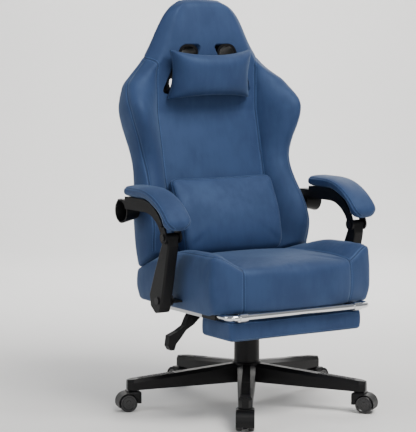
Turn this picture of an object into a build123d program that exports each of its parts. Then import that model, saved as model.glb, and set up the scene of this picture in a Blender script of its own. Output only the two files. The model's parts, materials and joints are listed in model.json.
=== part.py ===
from build123d import *
import os
from math import asin, atan2, cos, degrees, radians, sin

# Gaming chair: upholstered seat and reclining back on a castered five-leg base, with armrests that
# follow the back on a parallel linkage and a padded footrest that slides out from under the seat.
# Millimetres. The origin is on the floor under the column, +Z is up, the sitter faces -Y
# and +X is the sitter's left.

# Fits
RUN = 0.05
GAP = 0.3
SOFT = 0.4

# Star base
LEG_COUNT = 5
LEG_TURN = 235.9
LEG_REACH = 350.0
LEG_ROOT_HALF = 27.0
LEG_TIP_HALF = 19.0
LEG_NOSE_HALF = 9.0
LEG_NOSE_LENGTH = 16.0
LEG_FLAT_ROOT_HALF = 9.0
LEG_FLAT_TIP_HALF = 14.0
LEG_BEVEL = 9.0
LEG_TIP_BOTTOM = 60.0
LEG_TIP_TOP = 90.0
LEG_WALL = 4.0
LEG_RIB_COUNT = 4
HUB_R = 41.0
HUB_BOTTOM = 70.0
HUB_TOP = 125.0
HUB_CHAMFER = 3.0
CASTER_BOSS_R = 13.0
CASTER_BOSS_BOTTOM = 57.0
TREAD_LENGTH = 105.0
TREAD_WIDTH = 22.0
TREAD_POCKET = 3.0
TREAD_PLATE = 2.0
TREAD_RIB_COUNT = 14
TREAD_RIB_WIDTH = 3.5
TREAD_RIB_HEIGHT = 2.0
TREAD_INSET = 31.0

# Casters
CASTER_INSET = 19.0
CASTER_TRAIL = 19.0
WHEEL_R = 25.0
WHEEL_WIDTH = 16.5
WHEEL_EDGE = 2.5
WHEEL_DISH_R = 18.5
WHEEL_DISH = 1.5
WHEEL_CAP_R = 7.0
CASTER_WIDTH = 50.0
CASTER_WEB = 14.0
CASTER_WEB_R = 20.0
HOOD_CLEARANCE = 1.0
HOOD_WALL = 2.5
HOOD_START = -25.0
HOOD_END = 150.0
HOOD_BLOCK_FRONT = 18.0
HOOD_BLOCK_BOTTOM = 24.0
HOOD_ROUND = 5.0
AXLE_R = 3.0
STEM_R = 5.5
STEM_BOTTOM = 38.0
STEM_SOCKET = 24.0

# Column
TUBE_R = 25.0
TUBE_BOTTOM = 66.0
TUBE_TOP = 228.0
TUBE_END = 6.0
ROD_R = 14.0
ROD_BOTTOM = 78.0
ROD_TOP = 272.0
BUTTON_R = 5.0
BUTTON_HEIGHT = 3.0
SLEEVE_R = 36.0
SLEEVE_WALL = 2.5
SLEEVE_LENGTH = 102.0
SLEEVE_STEP = 6.0
SLEEVE_CAP = 3.0

# Tilt mechanism
TRAY_BOTTOM = 259.0
TRAY_WALL = 3.0
TRAY_HALF = 62.0
TRAY_FRONT = -94.0
TRAY_REAR = 84.0
TRAY_FRONT_TOP = 300.0
TRAY_REAR_TOP = 270.0
TRAY_SHOULDER = -40.0
SOCKET_R = 20.0
TILT_Y = -58.0
TILT_Z = 291.0
TILT_PIN_R = 6.0
PIN_HEAD = 3.0
PIN_HEAD_OVER = 3.5
EAR_WIDTH = 30.0
EAR_THICK = 4.0
EAR_DROP = 27.0
KNOB_Y = -74.0
KNOB_R = 17.0
KNOB_BOTTOM = 212.0
KNOB_HEIGHT = 45.0
KNOB_FLUTE_COUNT = 10
KNOB_FLUTE_R = 3.0
KNOB_BOLT_R = 4.0
KNOB_BOLT_CLEAR = 6.0

# Height lever
LEVER_PIVOT_X = -40.0
LEVER_Z = 281.0
LEVER_BAR = 5.0
LEVER_BAR_WIDTH = 10.0
LEVER_INNER_X = 6.0
LEVER_PIN_R = 2.0
LEVER_NOTCH_HALF = 9.0
LEVER_NOTCH_DROP = 10.0
LUG_THICK = 4.0
LUG_HALF = 7.0
HANDLE_ROOT_X = -150.0
HANDLE_SLOT = 31.0
HANDLE_WIDTH = 22.0
HANDLE_ROUND = 2.0
HANDLE_GROOVE = 1.5
HANDLE_GROOVE_COUNT = 5
HANDLE_GROOVE_RUN = 36.0
HANDLE_DEPTH = 40.0
# Side view of the handle, as (distance out from its root, height over the bar): out along the top, back below
HANDLE_TOP_LINE = [(0, 7.5), (38, 7.5), (54, -19), (62, -37), (86, -51), (112, -61), (116, -89),
                   (108, -102)]
HANDLE_UNDER_LINE = [(96, -102), (90, -85), (77, -72), (58, -49), (32, -35), (14, -19), (0, -7.5)]

# Seat
PLATE_THICK = 4.0
PLATE_HALF = 100.0
PLATE_FRONT = -132.0
PLATE_REAR = 112.0
PAN_BOTTOM = 311.0
PAN_THICK = 12.0
PAN_INSET = 18.0
PAN_FRONT = -234.0
PAN_REAR = 140.0
PAN_CORNER = 36.0
BOLT_R = 4.0
BOLT_HEAD_R = 7.0
BOLT_HEAD = 5.0
BOLT_INSET = 18.0
SEAT_BOTTOM = 304.0
SEAT_FRONT = -270.0
SEAT_REAR = 168.0
SEAT_HALF = 264.0
SEAT_TOP = 432.0
SEAT_SEAM_INSET = 92.0
SEAT_SEAM_DROP = 4.0
BOLSTER_TOP = 464.0
BOLSTER_INSET = 28.0
BOLSTER_WIDTH = 38.0
BOLSTER_SWELL = 4.0
SEAT_TUCK = 6.0
# Seat profile, as (distance behind the front, change from the full size)
SEAT_HALF_LINE = [(0, -150), (8, -110), (20, -68), (34, -30), (48, -11), (80, -1), (130, 0), (400, -2),
                  (438, -6), (460, -14)]
SEAT_BOTTOM_LINE = [(0, 26), (8, 11), (22, 6), (40, 0)]
SEAT_TOP_LINE = [(0, -62), (8, -42), (22, -22), (48, -6), (110, 0), (310, -6), (380, -26), (438, -62),
                 (460, -75)]
BOLSTER_LINE = [(0, -92), (8, -68), (22, -38), (48, -8), (80, 0), (190, -2), (310, -27), (370, -50),
                (432, -70), (460, -79)]
SEAT_STATIONS = [0, 8, 22, 34, 48, 80, 190, 310, 370, 432, 460]

# Recliner hinge and arm linkage, as (Y, Z) points
HINGE_Y = 179.0
HINGE_Z = 381.0
HINGE_PIN_R = 7.0
HINGE_LOBE_R = 20.0
HINGE_PLATE = 6.0
HINGE_PLATE_X = 220.0
HINGE_PLATE_GAP = 0.5
HINGE_SLOT_FRONT = 78.0
HINGE_FOOT_FRONT = 70.0
HINGE_FOOT_WIDTH = 30.0
ARM_PIVOT_Y = 135.0
ARM_PIVOT_Z = 558.0
ARM_PIVOT_R = 8.0
POST_PIN_R = 7.0
POST_BRACKET_THICK = 5.0
POST_BRACKET_WIDTH = 44.0
POST_BRACKET_INNER = 175.0
POST_BRACKET_GAP = 4.0
POST_BRACKET_LOBE_R = 16.0

# Recline lever
RELEASE_Y = 177.0
RELEASE_Z = 336.0
RELEASE_PIN_R = 5.0
RELEASE_GAP = 4.0
RELEASE_THICK = 8.0
RELEASE_LENGTH = 84.0
RELEASE_WIDTH = 20.0
RELEASE_RISE = 14.0

# Footrest
RAIL_INSET = 16.0
RAIL_HALF = 11.5
RAIL_WALL = 2.0
RAIL_LIP = 4.0
RAIL_DEPTH = 22.0
RAIL_FRONT = -145.0
RAIL_REAR = 62.0
GUIDE_FRONT = -212.0
TUBE_BAR_R = 8.0
TUBE_BAR_WALL = 1.5
TUBE_BAR_Z = 300.0
TUBE_BAR_Y = -266.0
TUBE_BAR_CORNER = 22.0
TUBE_BAR_REAR = 56.0
SLIDER_LENGTH = 16.0
FOOT_PAD_HALF = 216.0
FOOT_PAD_FRONT = -250.0
FOOT_PAD_REAR = -101.0
FOOT_PAD_BOTTOM = 229.0
FOOT_PAD_TOP = 288.0
FOOT_PAD_CROWN = 5.0
FOOT_PAD_TUCK = 5.0
# Footrest pad's ends, as (distance in from an end, drawn in at each side, lifted off the bottom)
FOOT_PAD_ENDS = [(0, 8, 9), (5, 2, 3), (27, 0, 1)]
FOOT_BOARD = 5.0
FOOT_BOARD_INSET = 12.0
CLIP_X = 188.0
CLIP_WIDTH = 24.0
CLIP_WALL = 3.0

# Back: its own frame leans back from this point, with heights along the back
# and reaches measured forward from it
BACK_Y = 150.0
BACK_Z = 430.0
RECLINE = 13.0
# Back profile, as (height, value): half width, and reach of the wings, the middle panel and the rear
BACK_HALF_LINE = [(-18, 266), (55, 277), (245, 259), (405, 291), (475, 270), (510, 236), (545, 200),
                  (585, 172), (650, 138), (680, 116), (702, 87), (718, 52)]
WING_LINE = [(-18, 72), (65, 104), (245, 65), (390, 121), (475, 72), (530, 48), (620, 60),
             (690, 71), (718, 58)]
PANEL_LINE = [(398, 38), (610, 77), (670, 80), (706, 74), (718, 60)]
REAR_LINE = [(-18, -34), (75, -30), (398, -22), (475, -13), (540, -12), (590, -4), (650, 16),
             (706, 26), (718, 38)]
BACK_STATIONS = [-18, 4, 55, 120, 180, 245, 325, 398, 445, 475, 510, 545, 585, 620, 670, 702, 718]
BACK_MAX_HALF = 295.0
PANEL_REACH = 38.0
PANEL_HALF = 167.0
PANEL_CROWN = 4.0
PANEL_SHARE = 0.8
REAR_BOW = 14.0
WING_SWELL = 5.0
WING_EDGE = 22.0
REAR_EDGE = 26.0
FRAME_TOP = 150.0
FRAME_WIDTH = 30.0
FRAME_INSET = 1.0
FRAME_BAR_R = 9.0
FRAME_BAR_HEIGHT = 62.0
FRAME_BAR_REACH = 21.0

# Slanted openings of the back
OPENING_TOP = 585.0
OPENING_BOTTOM = 448.0
OPENING_TOP_INNER = 18.0
OPENING_TOP_OUTER = 88.0
OPENING_BOTTOM_INNER = 84.0
OPENING_BOTTOM_OUTER = 154.0
OPENING_ROUND = 25.0
BEZEL_WALL = 7.0
BEZEL_PROUD = 2.0

# Cushions on the back
LUMBAR_FOOT = -16.0
LUMBAR_FRONT_SHARE = 0.72
LUMBAR_SIDE_SHARE = 0.12
# Lumbar profile, as (height above its foot, value): thickness and half width
LUMBAR_THICK_LINE = [(0, 30), (14, 52), (50, 68), (110, 66), (170, 48), (202, 26), (214, 12)]
LUMBAR_HALF_LINE = [(0, 160), (40, 168), (214, 163)]
PILLOW_HALF = 138.0
PILLOW_MIDDLE = 502.0
PILLOW_CORNER = 72.0
PILLOW_WAIST = 57.0
PILLOW_DEPTH = 72.0
PILLOW_EDGE = 14.0
PILLOW_FLAT = 0.8
PILLOW_REAR_SHARE = 0.25
PILLOW_FRONT_SHARE = 0.72
PILLOW_REAR_DRAW = 0.05
PILLOW_STATIONS = (-1.0, -0.9, -0.6, -0.25, 0.25, 0.6, 0.9, 1.0)
PILLOW_SAMPLES = 8
STRAP_HALF = 84.0
STRAP_WIDTH = 30.0
STRAP_THICK = 2.0
STRAP_REAR_ROOM = 12.0

# Armrests
ARM_ROOM = 46.0
ARM_REAR = 88.0
ARM_TOP = 634.0
ARM_PAD_HALF = 42.0
ARM_PAD_THICK = 31.0
ARM_BEND_Y = 0.0
ARM_BEND_R = 135.0
ARM_NOSE_BEND_Y = 20.0
ARM_NOSE_BEND_R = 220.0
ARM_NOSE_Y = -150.0
ARM_PAD_END = 60.0
ARM_PAD_ROUND = 11.0
ARM_PAD_STATIONS = (-1.0, -0.93, -0.7, 0.0, 0.7, 0.93, 1.0)
ARM_PLATE_THICK = 12.0
ARM_PLATE_HALF = 36.0
ARM_FRAME_THICK = 24.0
ARM_FRAME_HALF = 25.0
ARM_PLATE_END = 57.0
KNUCKLE_ANGLE = 69.0
KNUCKLE_R = 12.0
KNUCKLE_HALF = 19.0
KNUCKLE_ROOM = 34.0
EAR_R = 17.0
EAR_SIDE_GAP = 0.5
ARM_PIN_R = 6.0
SCOOP_DEPTH = 46.0
SCOOP_FLOOR = 9.0
SCOOP_ROOT_R = 24.0
SCOOP_MOUTH_R = 34.0
SCOOP_WALL = 4.0
ARM_POCKET_COUNT = 4
ARM_POCKET_DEPTH = 18.0
ARM_RIB = 4.0

# Posts
POST_HALF = 17.0
POST_FRONT_TOP = 14.0
POST_FRONT_FOOT = 17.0
POST_FOOT_DROP = 36.0
POST_HEEL = 44.0
POST_HEEL_Z = 14.0
POST_WAIST = 14.0
POST_WAIST_Z = 84.0
POST_ROUND = 5.0

FLOOR_UP = (Align.CENTER, Align.CENTER, Align.MIN)
SIDES = {"left": 1, "right": -1}


# Places and widths that follow from the sizes above
ARM_X = SEAT_HALF + ARM_ROOM
SCOOP_X = ARM_X - ARM_FRAME_HALF
POST_BRACKET_OUTER = ARM_X - POST_HALF - POST_BRACKET_GAP
RELEASE_X = SEAT_HALF + RELEASE_GAP
PAN_HALF = SEAT_HALF - PAN_INSET
RAIL_X = PAN_HALF - RAIL_INSET
TAIL_INNER = HINGE_PLATE_X + HINGE_PLATE + GAP + PIN_HEAD + SOFT


# Points that several pieces share
def arm_point(radius, angle):
    """Point of the arm's side view at a radius about its bend, turned forward from straight up."""
    bend_z = ARM_TOP - ARM_PAD_THICK - ARM_BEND_R
    return ARM_BEND_Y - radius * sin(radians(angle)), bend_z + radius * cos(radians(angle))


CASTER_REACH = LEG_REACH - CASTER_INSET
FRAME_OUTER = ARM_BEND_R - SOFT - ARM_PLATE_THICK - GAP
FRAME_INNER = FRAME_OUTER - ARM_FRAME_THICK
KNUCKLE = arm_point(FRAME_OUTER - EAR_R, KNUCKLE_ANGLE)
POST_PIVOT = (KNUCKLE[0] - ARM_PIVOT_Y + HINGE_Y, KNUCKLE[1] - ARM_PIVOT_Z + HINGE_Z)
BACK_PLACE = Pos(0, BACK_Y, BACK_Z) * Rot(-RECLINE, 0, 0)
PLATE_BOTTOM = PAN_BOTTOM - PLATE_THICK
TAIL_REAR = SEAT_FRONT + SEAT_STATIONS[-1]
BACK_FOOT = BACK_STATIONS[0]


def to_back(y, z):
    """Height and forward reach on the back of a (Y, Z) point of the chair."""
    dy = y - BACK_Y
    dz = z - BACK_Z
    lean = radians(RECLINE)
    return dy * sin(lean) + dz * cos(lean), dz * sin(lean) - dy * cos(lean)


# Shared shape helpers
def smooth_through(keys, at):
    """Value at a station on a smooth line through (station, value) keys that never overshoots."""
    stations = [key[0] for key in keys]
    values = [key[1] for key in keys]
    if at <= stations[0]:
        return values[0]
    if at >= stations[-1]:
        return values[-1]
    rises = []
    for i in range(len(keys) - 1):
        rises.append((values[i + 1] - values[i]) / (stations[i + 1] - stations[i]))
    slopes = [rises[0]]
    for before, after in zip(rises, rises[1:]):
        slopes.append(2 * before * after / (before + after) if before * after > 0 else 0.0)
    slopes.append(rises[-1])
    i = max(k for k in range(len(keys) - 1) if stations[k] <= at)
    span = stations[i + 1] - stations[i]
    t = (at - stations[i]) / span
    rest = 1 - t
    start = values[i] * (1 + 2 * t) + span * t * slopes[i]
    end = values[i + 1] * (1 + 2 * rest) - span * rest * slopes[i + 1]
    return start * rest * rest + end * t * t


def ring_face(edges):
    return Face(Wire(edges))


def line(start, end):
    return Edge.make_line(start, end)


def arc(start, middle, end):
    return Edge.make_three_point_arc(start, middle, end)


def side_plate(points, inner_x, thick):
    """Plate cut to a (Y, Z) outline, from inner_x outwards."""
    return Pos(inner_x, 0, 0) * extrude(Plane.YZ * Polygon(*points, align=None), thick, dir=(1, 0, 0))


def cross_pin(y, z, radius, low_x, high_x):
    """Round bar along X."""
    bar = Rot(0, 90, 0) * Cylinder(radius, high_x - low_x, align=FLOOR_UP)
    return Pos(low_x, y, z) * bar


def upright(radius, bottom, top):
    return Pos(0, 0, bottom) * Cylinder(radius, top - bottom, align=FLOOR_UP)


def block(low, high):
    size = [b - a for a, b in zip(low, high)]
    return Pos(*low) * Box(*size, align=(Align.MIN, Align.MIN, Align.MIN))


def both_sides(solid):
    """A right-hand and a left-hand copy as one group."""
    return Compound([solid.solid(), mirror(solid, about=Plane.YZ).solid()])


def round_legs(solid):
    """The same piece on every leg as one group."""
    return Compound([(leg_turn(i) * solid).solid() for i in range(LEG_COUNT)])


def leg_turn(i):
    return Rot(0, 0, LEG_TURN + i * 360 / LEG_COUNT)


# Base
def leg_top(reach):
    return HUB_TOP + (LEG_TIP_TOP - HUB_TOP) * reach / (LEG_REACH - LEG_NOSE_LENGTH)


def leg_bottom(reach):
    return HUB_BOTTOM + (LEG_TIP_BOTTOM - HUB_BOTTOM) * reach / (LEG_REACH - LEG_NOSE_LENGTH)


def leg_half(reach):
    return LEG_ROOT_HALF + (LEG_TIP_HALF - LEG_ROOT_HALF) * reach / (LEG_REACH - LEG_NOSE_LENGTH)


def leg_section(reach, half, flat_half):
    """Bevelled section of a leg across its run."""
    low = leg_bottom(reach)
    high = leg_top(reach)
    outline = [
        (reach, -half, low),
        (reach, half, low),
        (reach, half, high - LEG_BEVEL),
        (reach, flat_half, high),
        (reach, -flat_half, high),
        (reach, -half, high - LEG_BEVEL),
    ]
    return Face(Wire.make_polygon(outline, close=True))


def leg_pocket(start, end):
    """Hollow between two ribs, open below."""
    faces = []
    for reach in (start, end):
        half = leg_half(reach) - LEG_WALL
        low = leg_bottom(reach) - LEG_WALL
        high = leg_top(reach) - LEG_BEVEL - LEG_WALL
        outline = [(reach, -half, low), (reach, half, low), (reach, half, high), (reach, -half, high)]
        faces.append(Face(Wire.make_polygon(outline, close=True)))
    return loft(faces, ruled=True)


def tread_place(lift):
    """Place on a leg's sloping top, lifted square to it."""
    shoulder = LEG_REACH - LEG_NOSE_LENGTH
    slope = degrees(atan2(HUB_TOP - LEG_TIP_TOP, shoulder))
    middle = LEG_REACH - TREAD_INSET - TREAD_LENGTH / 2
    return Pos(middle, 0, leg_top(middle)) * Rot(0, slope, 0) * Pos(0, 0, lift)


def star_leg():
    shoulder = LEG_REACH - LEG_NOSE_LENGTH
    sections = [
        leg_section(0, LEG_ROOT_HALF, LEG_FLAT_ROOT_HALF),
        leg_section(shoulder, LEG_TIP_HALF, LEG_FLAT_TIP_HALF),
        leg_section(LEG_REACH, LEG_NOSE_HALF, LEG_NOSE_HALF - LEG_WALL),
    ]
    leg = loft(sections, ruled=True)
    first = HUB_R
    last = CASTER_REACH - CASTER_BOSS_R - LEG_WALL
    pitch = (last - first) / LEG_RIB_COUNT
    for i in range(LEG_RIB_COUNT):
        leg -= leg_pocket(first + i * pitch + LEG_WALL, first + (i + 1) * pitch)
    boss_top = LEG_TIP_TOP - LEG_BEVEL
    leg += Pos(CASTER_REACH, 0, 0) * upright(CASTER_BOSS_R, CASTER_BOSS_BOTTOM, boss_top)
    socket_top = CASTER_BOSS_BOTTOM + STEM_SOCKET
    leg -= Pos(CASTER_REACH, 0, 0) * upright(STEM_R + RUN, CASTER_BOSS_BOTTOM - LEG_WALL, socket_top)
    pocket = Box(TREAD_LENGTH + 2 * GAP, TREAD_WIDTH + 2 * GAP, 2 * TREAD_POCKET)
    return leg - tread_place(0) * pocket


def star_base():
    leg = star_leg()
    hub = upright(HUB_R, HUB_BOTTOM, HUB_TOP)
    hub = chamfer(hub.edges().group_by(Axis.Z)[-1], HUB_CHAMFER)
    base = hub + [leg_turn(i) * leg for i in range(LEG_COUNT)]
    return base - upright(TUBE_R + RUN, HUB_BOTTOM - LEG_WALL, HUB_TOP + LEG_WALL)


def foot_treads():
    tread = Pos(0, 0, TREAD_PLATE / 2) * Box(TREAD_LENGTH, TREAD_WIDTH, TREAD_PLATE)
    rib = Box(TREAD_RIB_WIDTH, TREAD_WIDTH, TREAD_RIB_HEIGHT, align=FLOOR_UP)
    pitch = (TREAD_LENGTH - TREAD_RIB_WIDTH) / (TREAD_RIB_COUNT - 1)
    for i in range(TREAD_RIB_COUNT):
        along = -TREAD_LENGTH / 2 + TREAD_RIB_WIDTH / 2 + i * pitch
        tread += Pos(along, 0, TREAD_PLATE) * rib
    return round_legs(tread_place(-TREAD_POCKET) * tread)


def caster_stems():
    stem = upright(STEM_R, STEM_BOTTOM, CASTER_BOSS_BOTTOM + STEM_SOCKET - GAP)
    return round_legs(Pos(CASTER_REACH, 0, 0) * stem)


# Casters, built with the swivel at the origin and the wheels trailing along +X
def caster_place(i):
    return leg_turn(i) * Pos(CASTER_REACH, 0, 0)


def wheel_bar(radius, inner, outer):
    """Round bar along the axle between two distances from the middle, on the +Y side."""
    bar = Rot(-90, 0, 0) * Cylinder(radius, outer - inner, align=FLOOR_UP)
    return Pos(CASTER_TRAIL, inner, WHEEL_R) * bar


def caster_hood():
    inner = WHEEL_R + HOOD_CLEARANCE
    outer = inner + HOOD_WALL
    half = CASTER_WIDTH / 2
    top = CASTER_BOSS_BOTTOM - GAP
    fender = wheel_bar(outer, -half, half)
    wedge = []
    for angle in (HOOD_START, (HOOD_START + HOOD_END) / 2, HOOD_END):
        reach = 3 * outer
        wedge.append((CASTER_TRAIL + reach * cos(radians(angle)), WHEEL_R + reach * sin(radians(angle))))
    fan = Polygon((CASTER_TRAIL, WHEEL_R), *wedge, align=None)
    fender &= Pos(0, -half, 0) * extrude(Plane.XZ * fan, CASTER_WIDTH, dir=(0, 1, 0))
    swivel = block((-HOOD_BLOCK_FRONT, -half, HOOD_BLOCK_BOTTOM), (CASTER_TRAIL, half, top))
    swivel = fillet(swivel.edges().filter_by(Axis.Z).group_by(Axis.X)[0], HOOD_ROUND)
    swivel = fillet(swivel.faces().sort_by(Axis.X)[0].edges().group_by(Axis.Z)[-1], HOOD_ROUND)
    hood = fender + swivel
    web = CASTER_WEB / 2
    for side in (-1, 1):
        cut = wheel_bar(inner, web, CASTER_WIDTH)
        hood -= cut if side > 0 else mirror(cut, about=Plane.XZ)
    hood += wheel_bar(CASTER_WEB_R, -web, web)
    hood -= wheel_bar(AXLE_R + RUN, -half, half)
    return hood - upright(STEM_R + RUN, STEM_BOTTOM - GAP, top + HOOD_WALL)


def caster_wheels():
    """Pair of wheels with a rounded tread edge and a dished face round a small cap."""
    outer = CASTER_WIDTH / 2
    inner = outer - WHEEL_WIDTH
    rim = WHEEL_R - WHEEL_EDGE
    floor = outer - WHEEL_DISH
    cap = outer - WHEEL_DISH / 2
    outline = [
        (AXLE_R + RUN, inner),
        (rim, inner),
        (WHEEL_R, inner + WHEEL_EDGE),
        (WHEEL_R, outer - WHEEL_EDGE),
        (rim, outer),
        (WHEEL_DISH_R, outer),
        (WHEEL_DISH_R - WHEEL_DISH, floor),
        (WHEEL_CAP_R + WHEEL_DISH, floor),
        (WHEEL_CAP_R, cap),
        (0, cap),
        (0, floor - WHEEL_EDGE),
        (AXLE_R + RUN, floor - WHEEL_EDGE),
    ]
    wheel = revolve(Plane.XY * Polygon(*outline, align=None), Axis.Y)
    wheel = Pos(CASTER_TRAIL, 0, WHEEL_R) * wheel
    return Compound([wheel.solid(), mirror(wheel, about=Plane.XZ).solid()])


def caster_axle():
    end = CASTER_WIDTH / 2 - WHEEL_DISH - WHEEL_EDGE - GAP
    return wheel_bar(AXLE_R, -end, end)


# Column
def gas_tube():
    tube = upright(TUBE_R, TUBE_BOTTOM, TUBE_TOP)
    return tube - upright(ROD_R + RUN, TUBE_BOTTOM + TUBE_END, TUBE_TOP + TUBE_END)


def gas_rod():
    return upright(ROD_R, ROD_BOTTOM, ROD_TOP) + upright(BUTTON_R, ROD_TOP, ROD_TOP + BUTTON_HEIGHT)


def sleeve_radius(step):
    return SLEEVE_R - step * (SLEEVE_WALL + GAP)


def column_sleeve(step):
    """Nested cover tube, counted inwards from the outer one."""
    radius = sleeve_radius(step)
    bottom = HUB_TOP + step * SLEEVE_STEP
    top = bottom + SLEEVE_LENGTH
    bore = upright(radius - SLEEVE_WALL, bottom - SLEEVE_STEP, top + SLEEVE_STEP)
    return upright(radius, bottom, top) - bore


def cover_upper():
    """Innermost cover tube, closed at the top round the rod."""
    radius = sleeve_radius(2)
    bottom = HUB_TOP + 2 * SLEEVE_STEP
    top = TRAY_BOTTOM - GAP
    cover = upright(radius, bottom, top) - upright(radius - SLEEVE_WALL, bottom, top - SLEEVE_CAP)
    return cover - upright(ROD_R + RUN, bottom, top + SLEEVE_CAP)


# Tilt mechanism
def tilt_tray():
    """Pressed tray with a sloping rim, a socket for the rod and lugs for the lever's pin."""
    floor = TRAY_BOTTOM + TRAY_WALL
    outer = [
        (TRAY_FRONT, TRAY_BOTTOM),
        (TRAY_REAR, TRAY_BOTTOM),
        (TRAY_REAR, TRAY_REAR_TOP),
        (TRAY_SHOULDER, TRAY_FRONT_TOP),
        (TRAY_FRONT, TRAY_FRONT_TOP),
    ]
    rear = TRAY_REAR - TRAY_WALL
    front = TRAY_FRONT + TRAY_WALL
    inner = [(front, floor), (rear, floor), (rear, PAN_BOTTOM), (front, PAN_BOTTOM)]
    inside = TRAY_HALF - TRAY_WALL
    tray = side_plate(outer, -TRAY_HALF, 2 * TRAY_HALF) - side_plate(inner, -inside, 2 * inside)
    tray += upright(SOCKET_R, TRAY_BOTTOM, ROD_TOP)
    tray -= upright(ROD_R + RUN, TRAY_BOTTOM - TRAY_WALL, ROD_TOP + TRAY_WALL)
    tray -= cross_pin(TILT_Y, TILT_Z, TILT_PIN_R + RUN, -PLATE_HALF, PLATE_HALF)
    notch_low = LEVER_Z - LEVER_BAR / 2 - LEVER_NOTCH_DROP
    notch = (-inside + TRAY_WALL, LEVER_NOTCH_HALF, PAN_BOTTOM)
    tray -= block((-TRAY_HALF - TRAY_WALL, -LEVER_NOTCH_HALF, notch_low), notch)
    lug_y = LEVER_BAR_WIDTH / 2 + GAP
    lug_top = LEVER_Z + LEVER_PIN_R + TRAY_WALL
    for low in (lug_y, -lug_y - LUG_THICK):
        low_corner = (LEVER_PIVOT_X - LUG_HALF, low, TRAY_BOTTOM)
        tray += block(low_corner, (LEVER_PIVOT_X + LUG_HALF, low + LUG_THICK, lug_top))
    tray -= lever_axis_bar(LEVER_PIN_R + RUN, lug_y + 2 * LUG_THICK)
    bolt_hole = upright(KNOB_BOLT_R + RUN, TRAY_BOTTOM - TRAY_WALL, floor + TRAY_WALL)
    return tray - Pos(0, KNOB_Y, 0) * bolt_hole


def lever_axis_bar(radius, half):
    bar = Rot(-90, 0, 0) * Cylinder(radius, 2 * half, align=FLOOR_UP)
    return Pos(LEVER_PIVOT_X, -half, LEVER_Z) * bar


def ear_inner():
    return TRAY_HALF + GAP


def mechanism_pins():
    """Tilt pin with a head at each end, and the height lever's pin."""
    end = ear_inner() + EAR_THICK + GAP
    pin = cross_pin(TILT_Y, TILT_Z, TILT_PIN_R, -end - PIN_HEAD, end + PIN_HEAD)
    pin += cross_pin(TILT_Y, TILT_Z, TILT_PIN_R + PIN_HEAD_OVER, end, end + PIN_HEAD)
    pin += cross_pin(TILT_Y, TILT_Z, TILT_PIN_R + PIN_HEAD_OVER, -end - PIN_HEAD, -end)
    lever_pin = lever_axis_bar(LEVER_PIN_R, LEVER_BAR_WIDTH / 2 + GAP + LUG_THICK)
    return Compound([pin.solid(), lever_pin.solid()])


def tension_bolt():
    """Bolt through the tray's floor, with its head inside the tray."""
    floor = TRAY_BOTTOM + TRAY_WALL
    bolt = upright(KNOB_BOLT_R, KNOB_BOTTOM + KNOB_BOLT_CLEAR, floor)
    head = RegularPolygon(BOLT_HEAD_R, 6)
    return Pos(0, KNOB_Y, 0) * (bolt + Pos(0, 0, floor) * extrude(head, BOLT_HEAD))


def tension_knob():
    """Deep fluted knob that houses the tilt spring."""
    knob = upright(KNOB_R, KNOB_BOTTOM, KNOB_BOTTOM + KNOB_HEIGHT)
    knob = fillet(knob.edges().group_by(Axis.Z)[0], KNOB_FLUTE_R)
    for i in range(KNOB_FLUTE_COUNT):
        flute = Pos(KNOB_R + KNOB_FLUTE_R / 2, 0, 0) * upright(KNOB_FLUTE_R, 0, TRAY_BOTTOM)
        knob -= Rot(0, 0, i * 360 / KNOB_FLUTE_COUNT) * flute
    bore = upright(KNOB_BOLT_R + RUN, KNOB_BOTTOM + KNOB_BOLT_CLEAR - GAP, TRAY_BOTTOM)
    return Pos(0, KNOB_Y, 0) * (knob - bore)


def lever_rod():
    """Flat bar from over the gas spring's button out to the handle."""
    half = LEVER_BAR_WIDTH / 2
    low = LEVER_Z - LEVER_BAR / 2
    bar = block((HANDLE_ROOT_X - HANDLE_SLOT + GAP, -half, low), (LEVER_INNER_X, half, low + LEVER_BAR))
    return bar - lever_axis_bar(LEVER_PIN_R + RUN, LEVER_BAR_WIDTH)


def lever_handle():
    """Drooping paddle with a grooved root, a slot for the bar and a cranked end."""
    outline = [(HANDLE_ROOT_X - out, LEVER_Z + rise) for out, rise in HANDLE_TOP_LINE + HANDLE_UNDER_LINE]
    half = HANDLE_WIDTH / 2
    sketch = Plane.XZ * Polygon(*outline, align=None)
    handle = Pos(0, -half, 0) * extrude(sketch, HANDLE_WIDTH, dir=(0, 1, 0))
    handle = fillet(handle.edges().filter_by(Axis.Y), HANDLE_ROUND)
    top = LEVER_Z + HANDLE_TOP_LINE[0][1]
    pitch = HANDLE_GROOVE_RUN / HANDLE_GROOVE_COUNT
    keep = half - HANDLE_GROOVE
    for i in range(HANDLE_GROOVE_COUNT):
        high_x = HANDLE_ROOT_X - (i + 0.5) * pitch
        low_x = high_x - 2 * HANDLE_GROOVE
        ring = block((low_x, -HANDLE_WIDTH, top - HANDLE_DEPTH), (high_x, HANDLE_WIDTH, top + HANDLE_GROOVE))
        core = block((low_x, -keep, top - 2 * HANDLE_DEPTH), (high_x, keep, top - HANDLE_GROOVE))
        handle -= ring - core
    slot_half = LEVER_BAR_WIDTH / 2 + RUN
    slot_low = LEVER_Z - LEVER_BAR / 2 - RUN
    return handle - block((HANDLE_ROOT_X - HANDLE_SLOT, -slot_half, slot_low),
                          (LEVER_INNER_X, slot_half, slot_low + LEVER_BAR + 2 * RUN))


# Seat
def plate_bolt_places():
    places = []
    for x in (-PLATE_HALF + BOLT_INSET, PLATE_HALF - BOLT_INSET):
        for y in (PLATE_FRONT + BOLT_INSET, PLATE_REAR - BOLT_INSET):
            places.append(Pos(x, y, 0))
    return places


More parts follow.
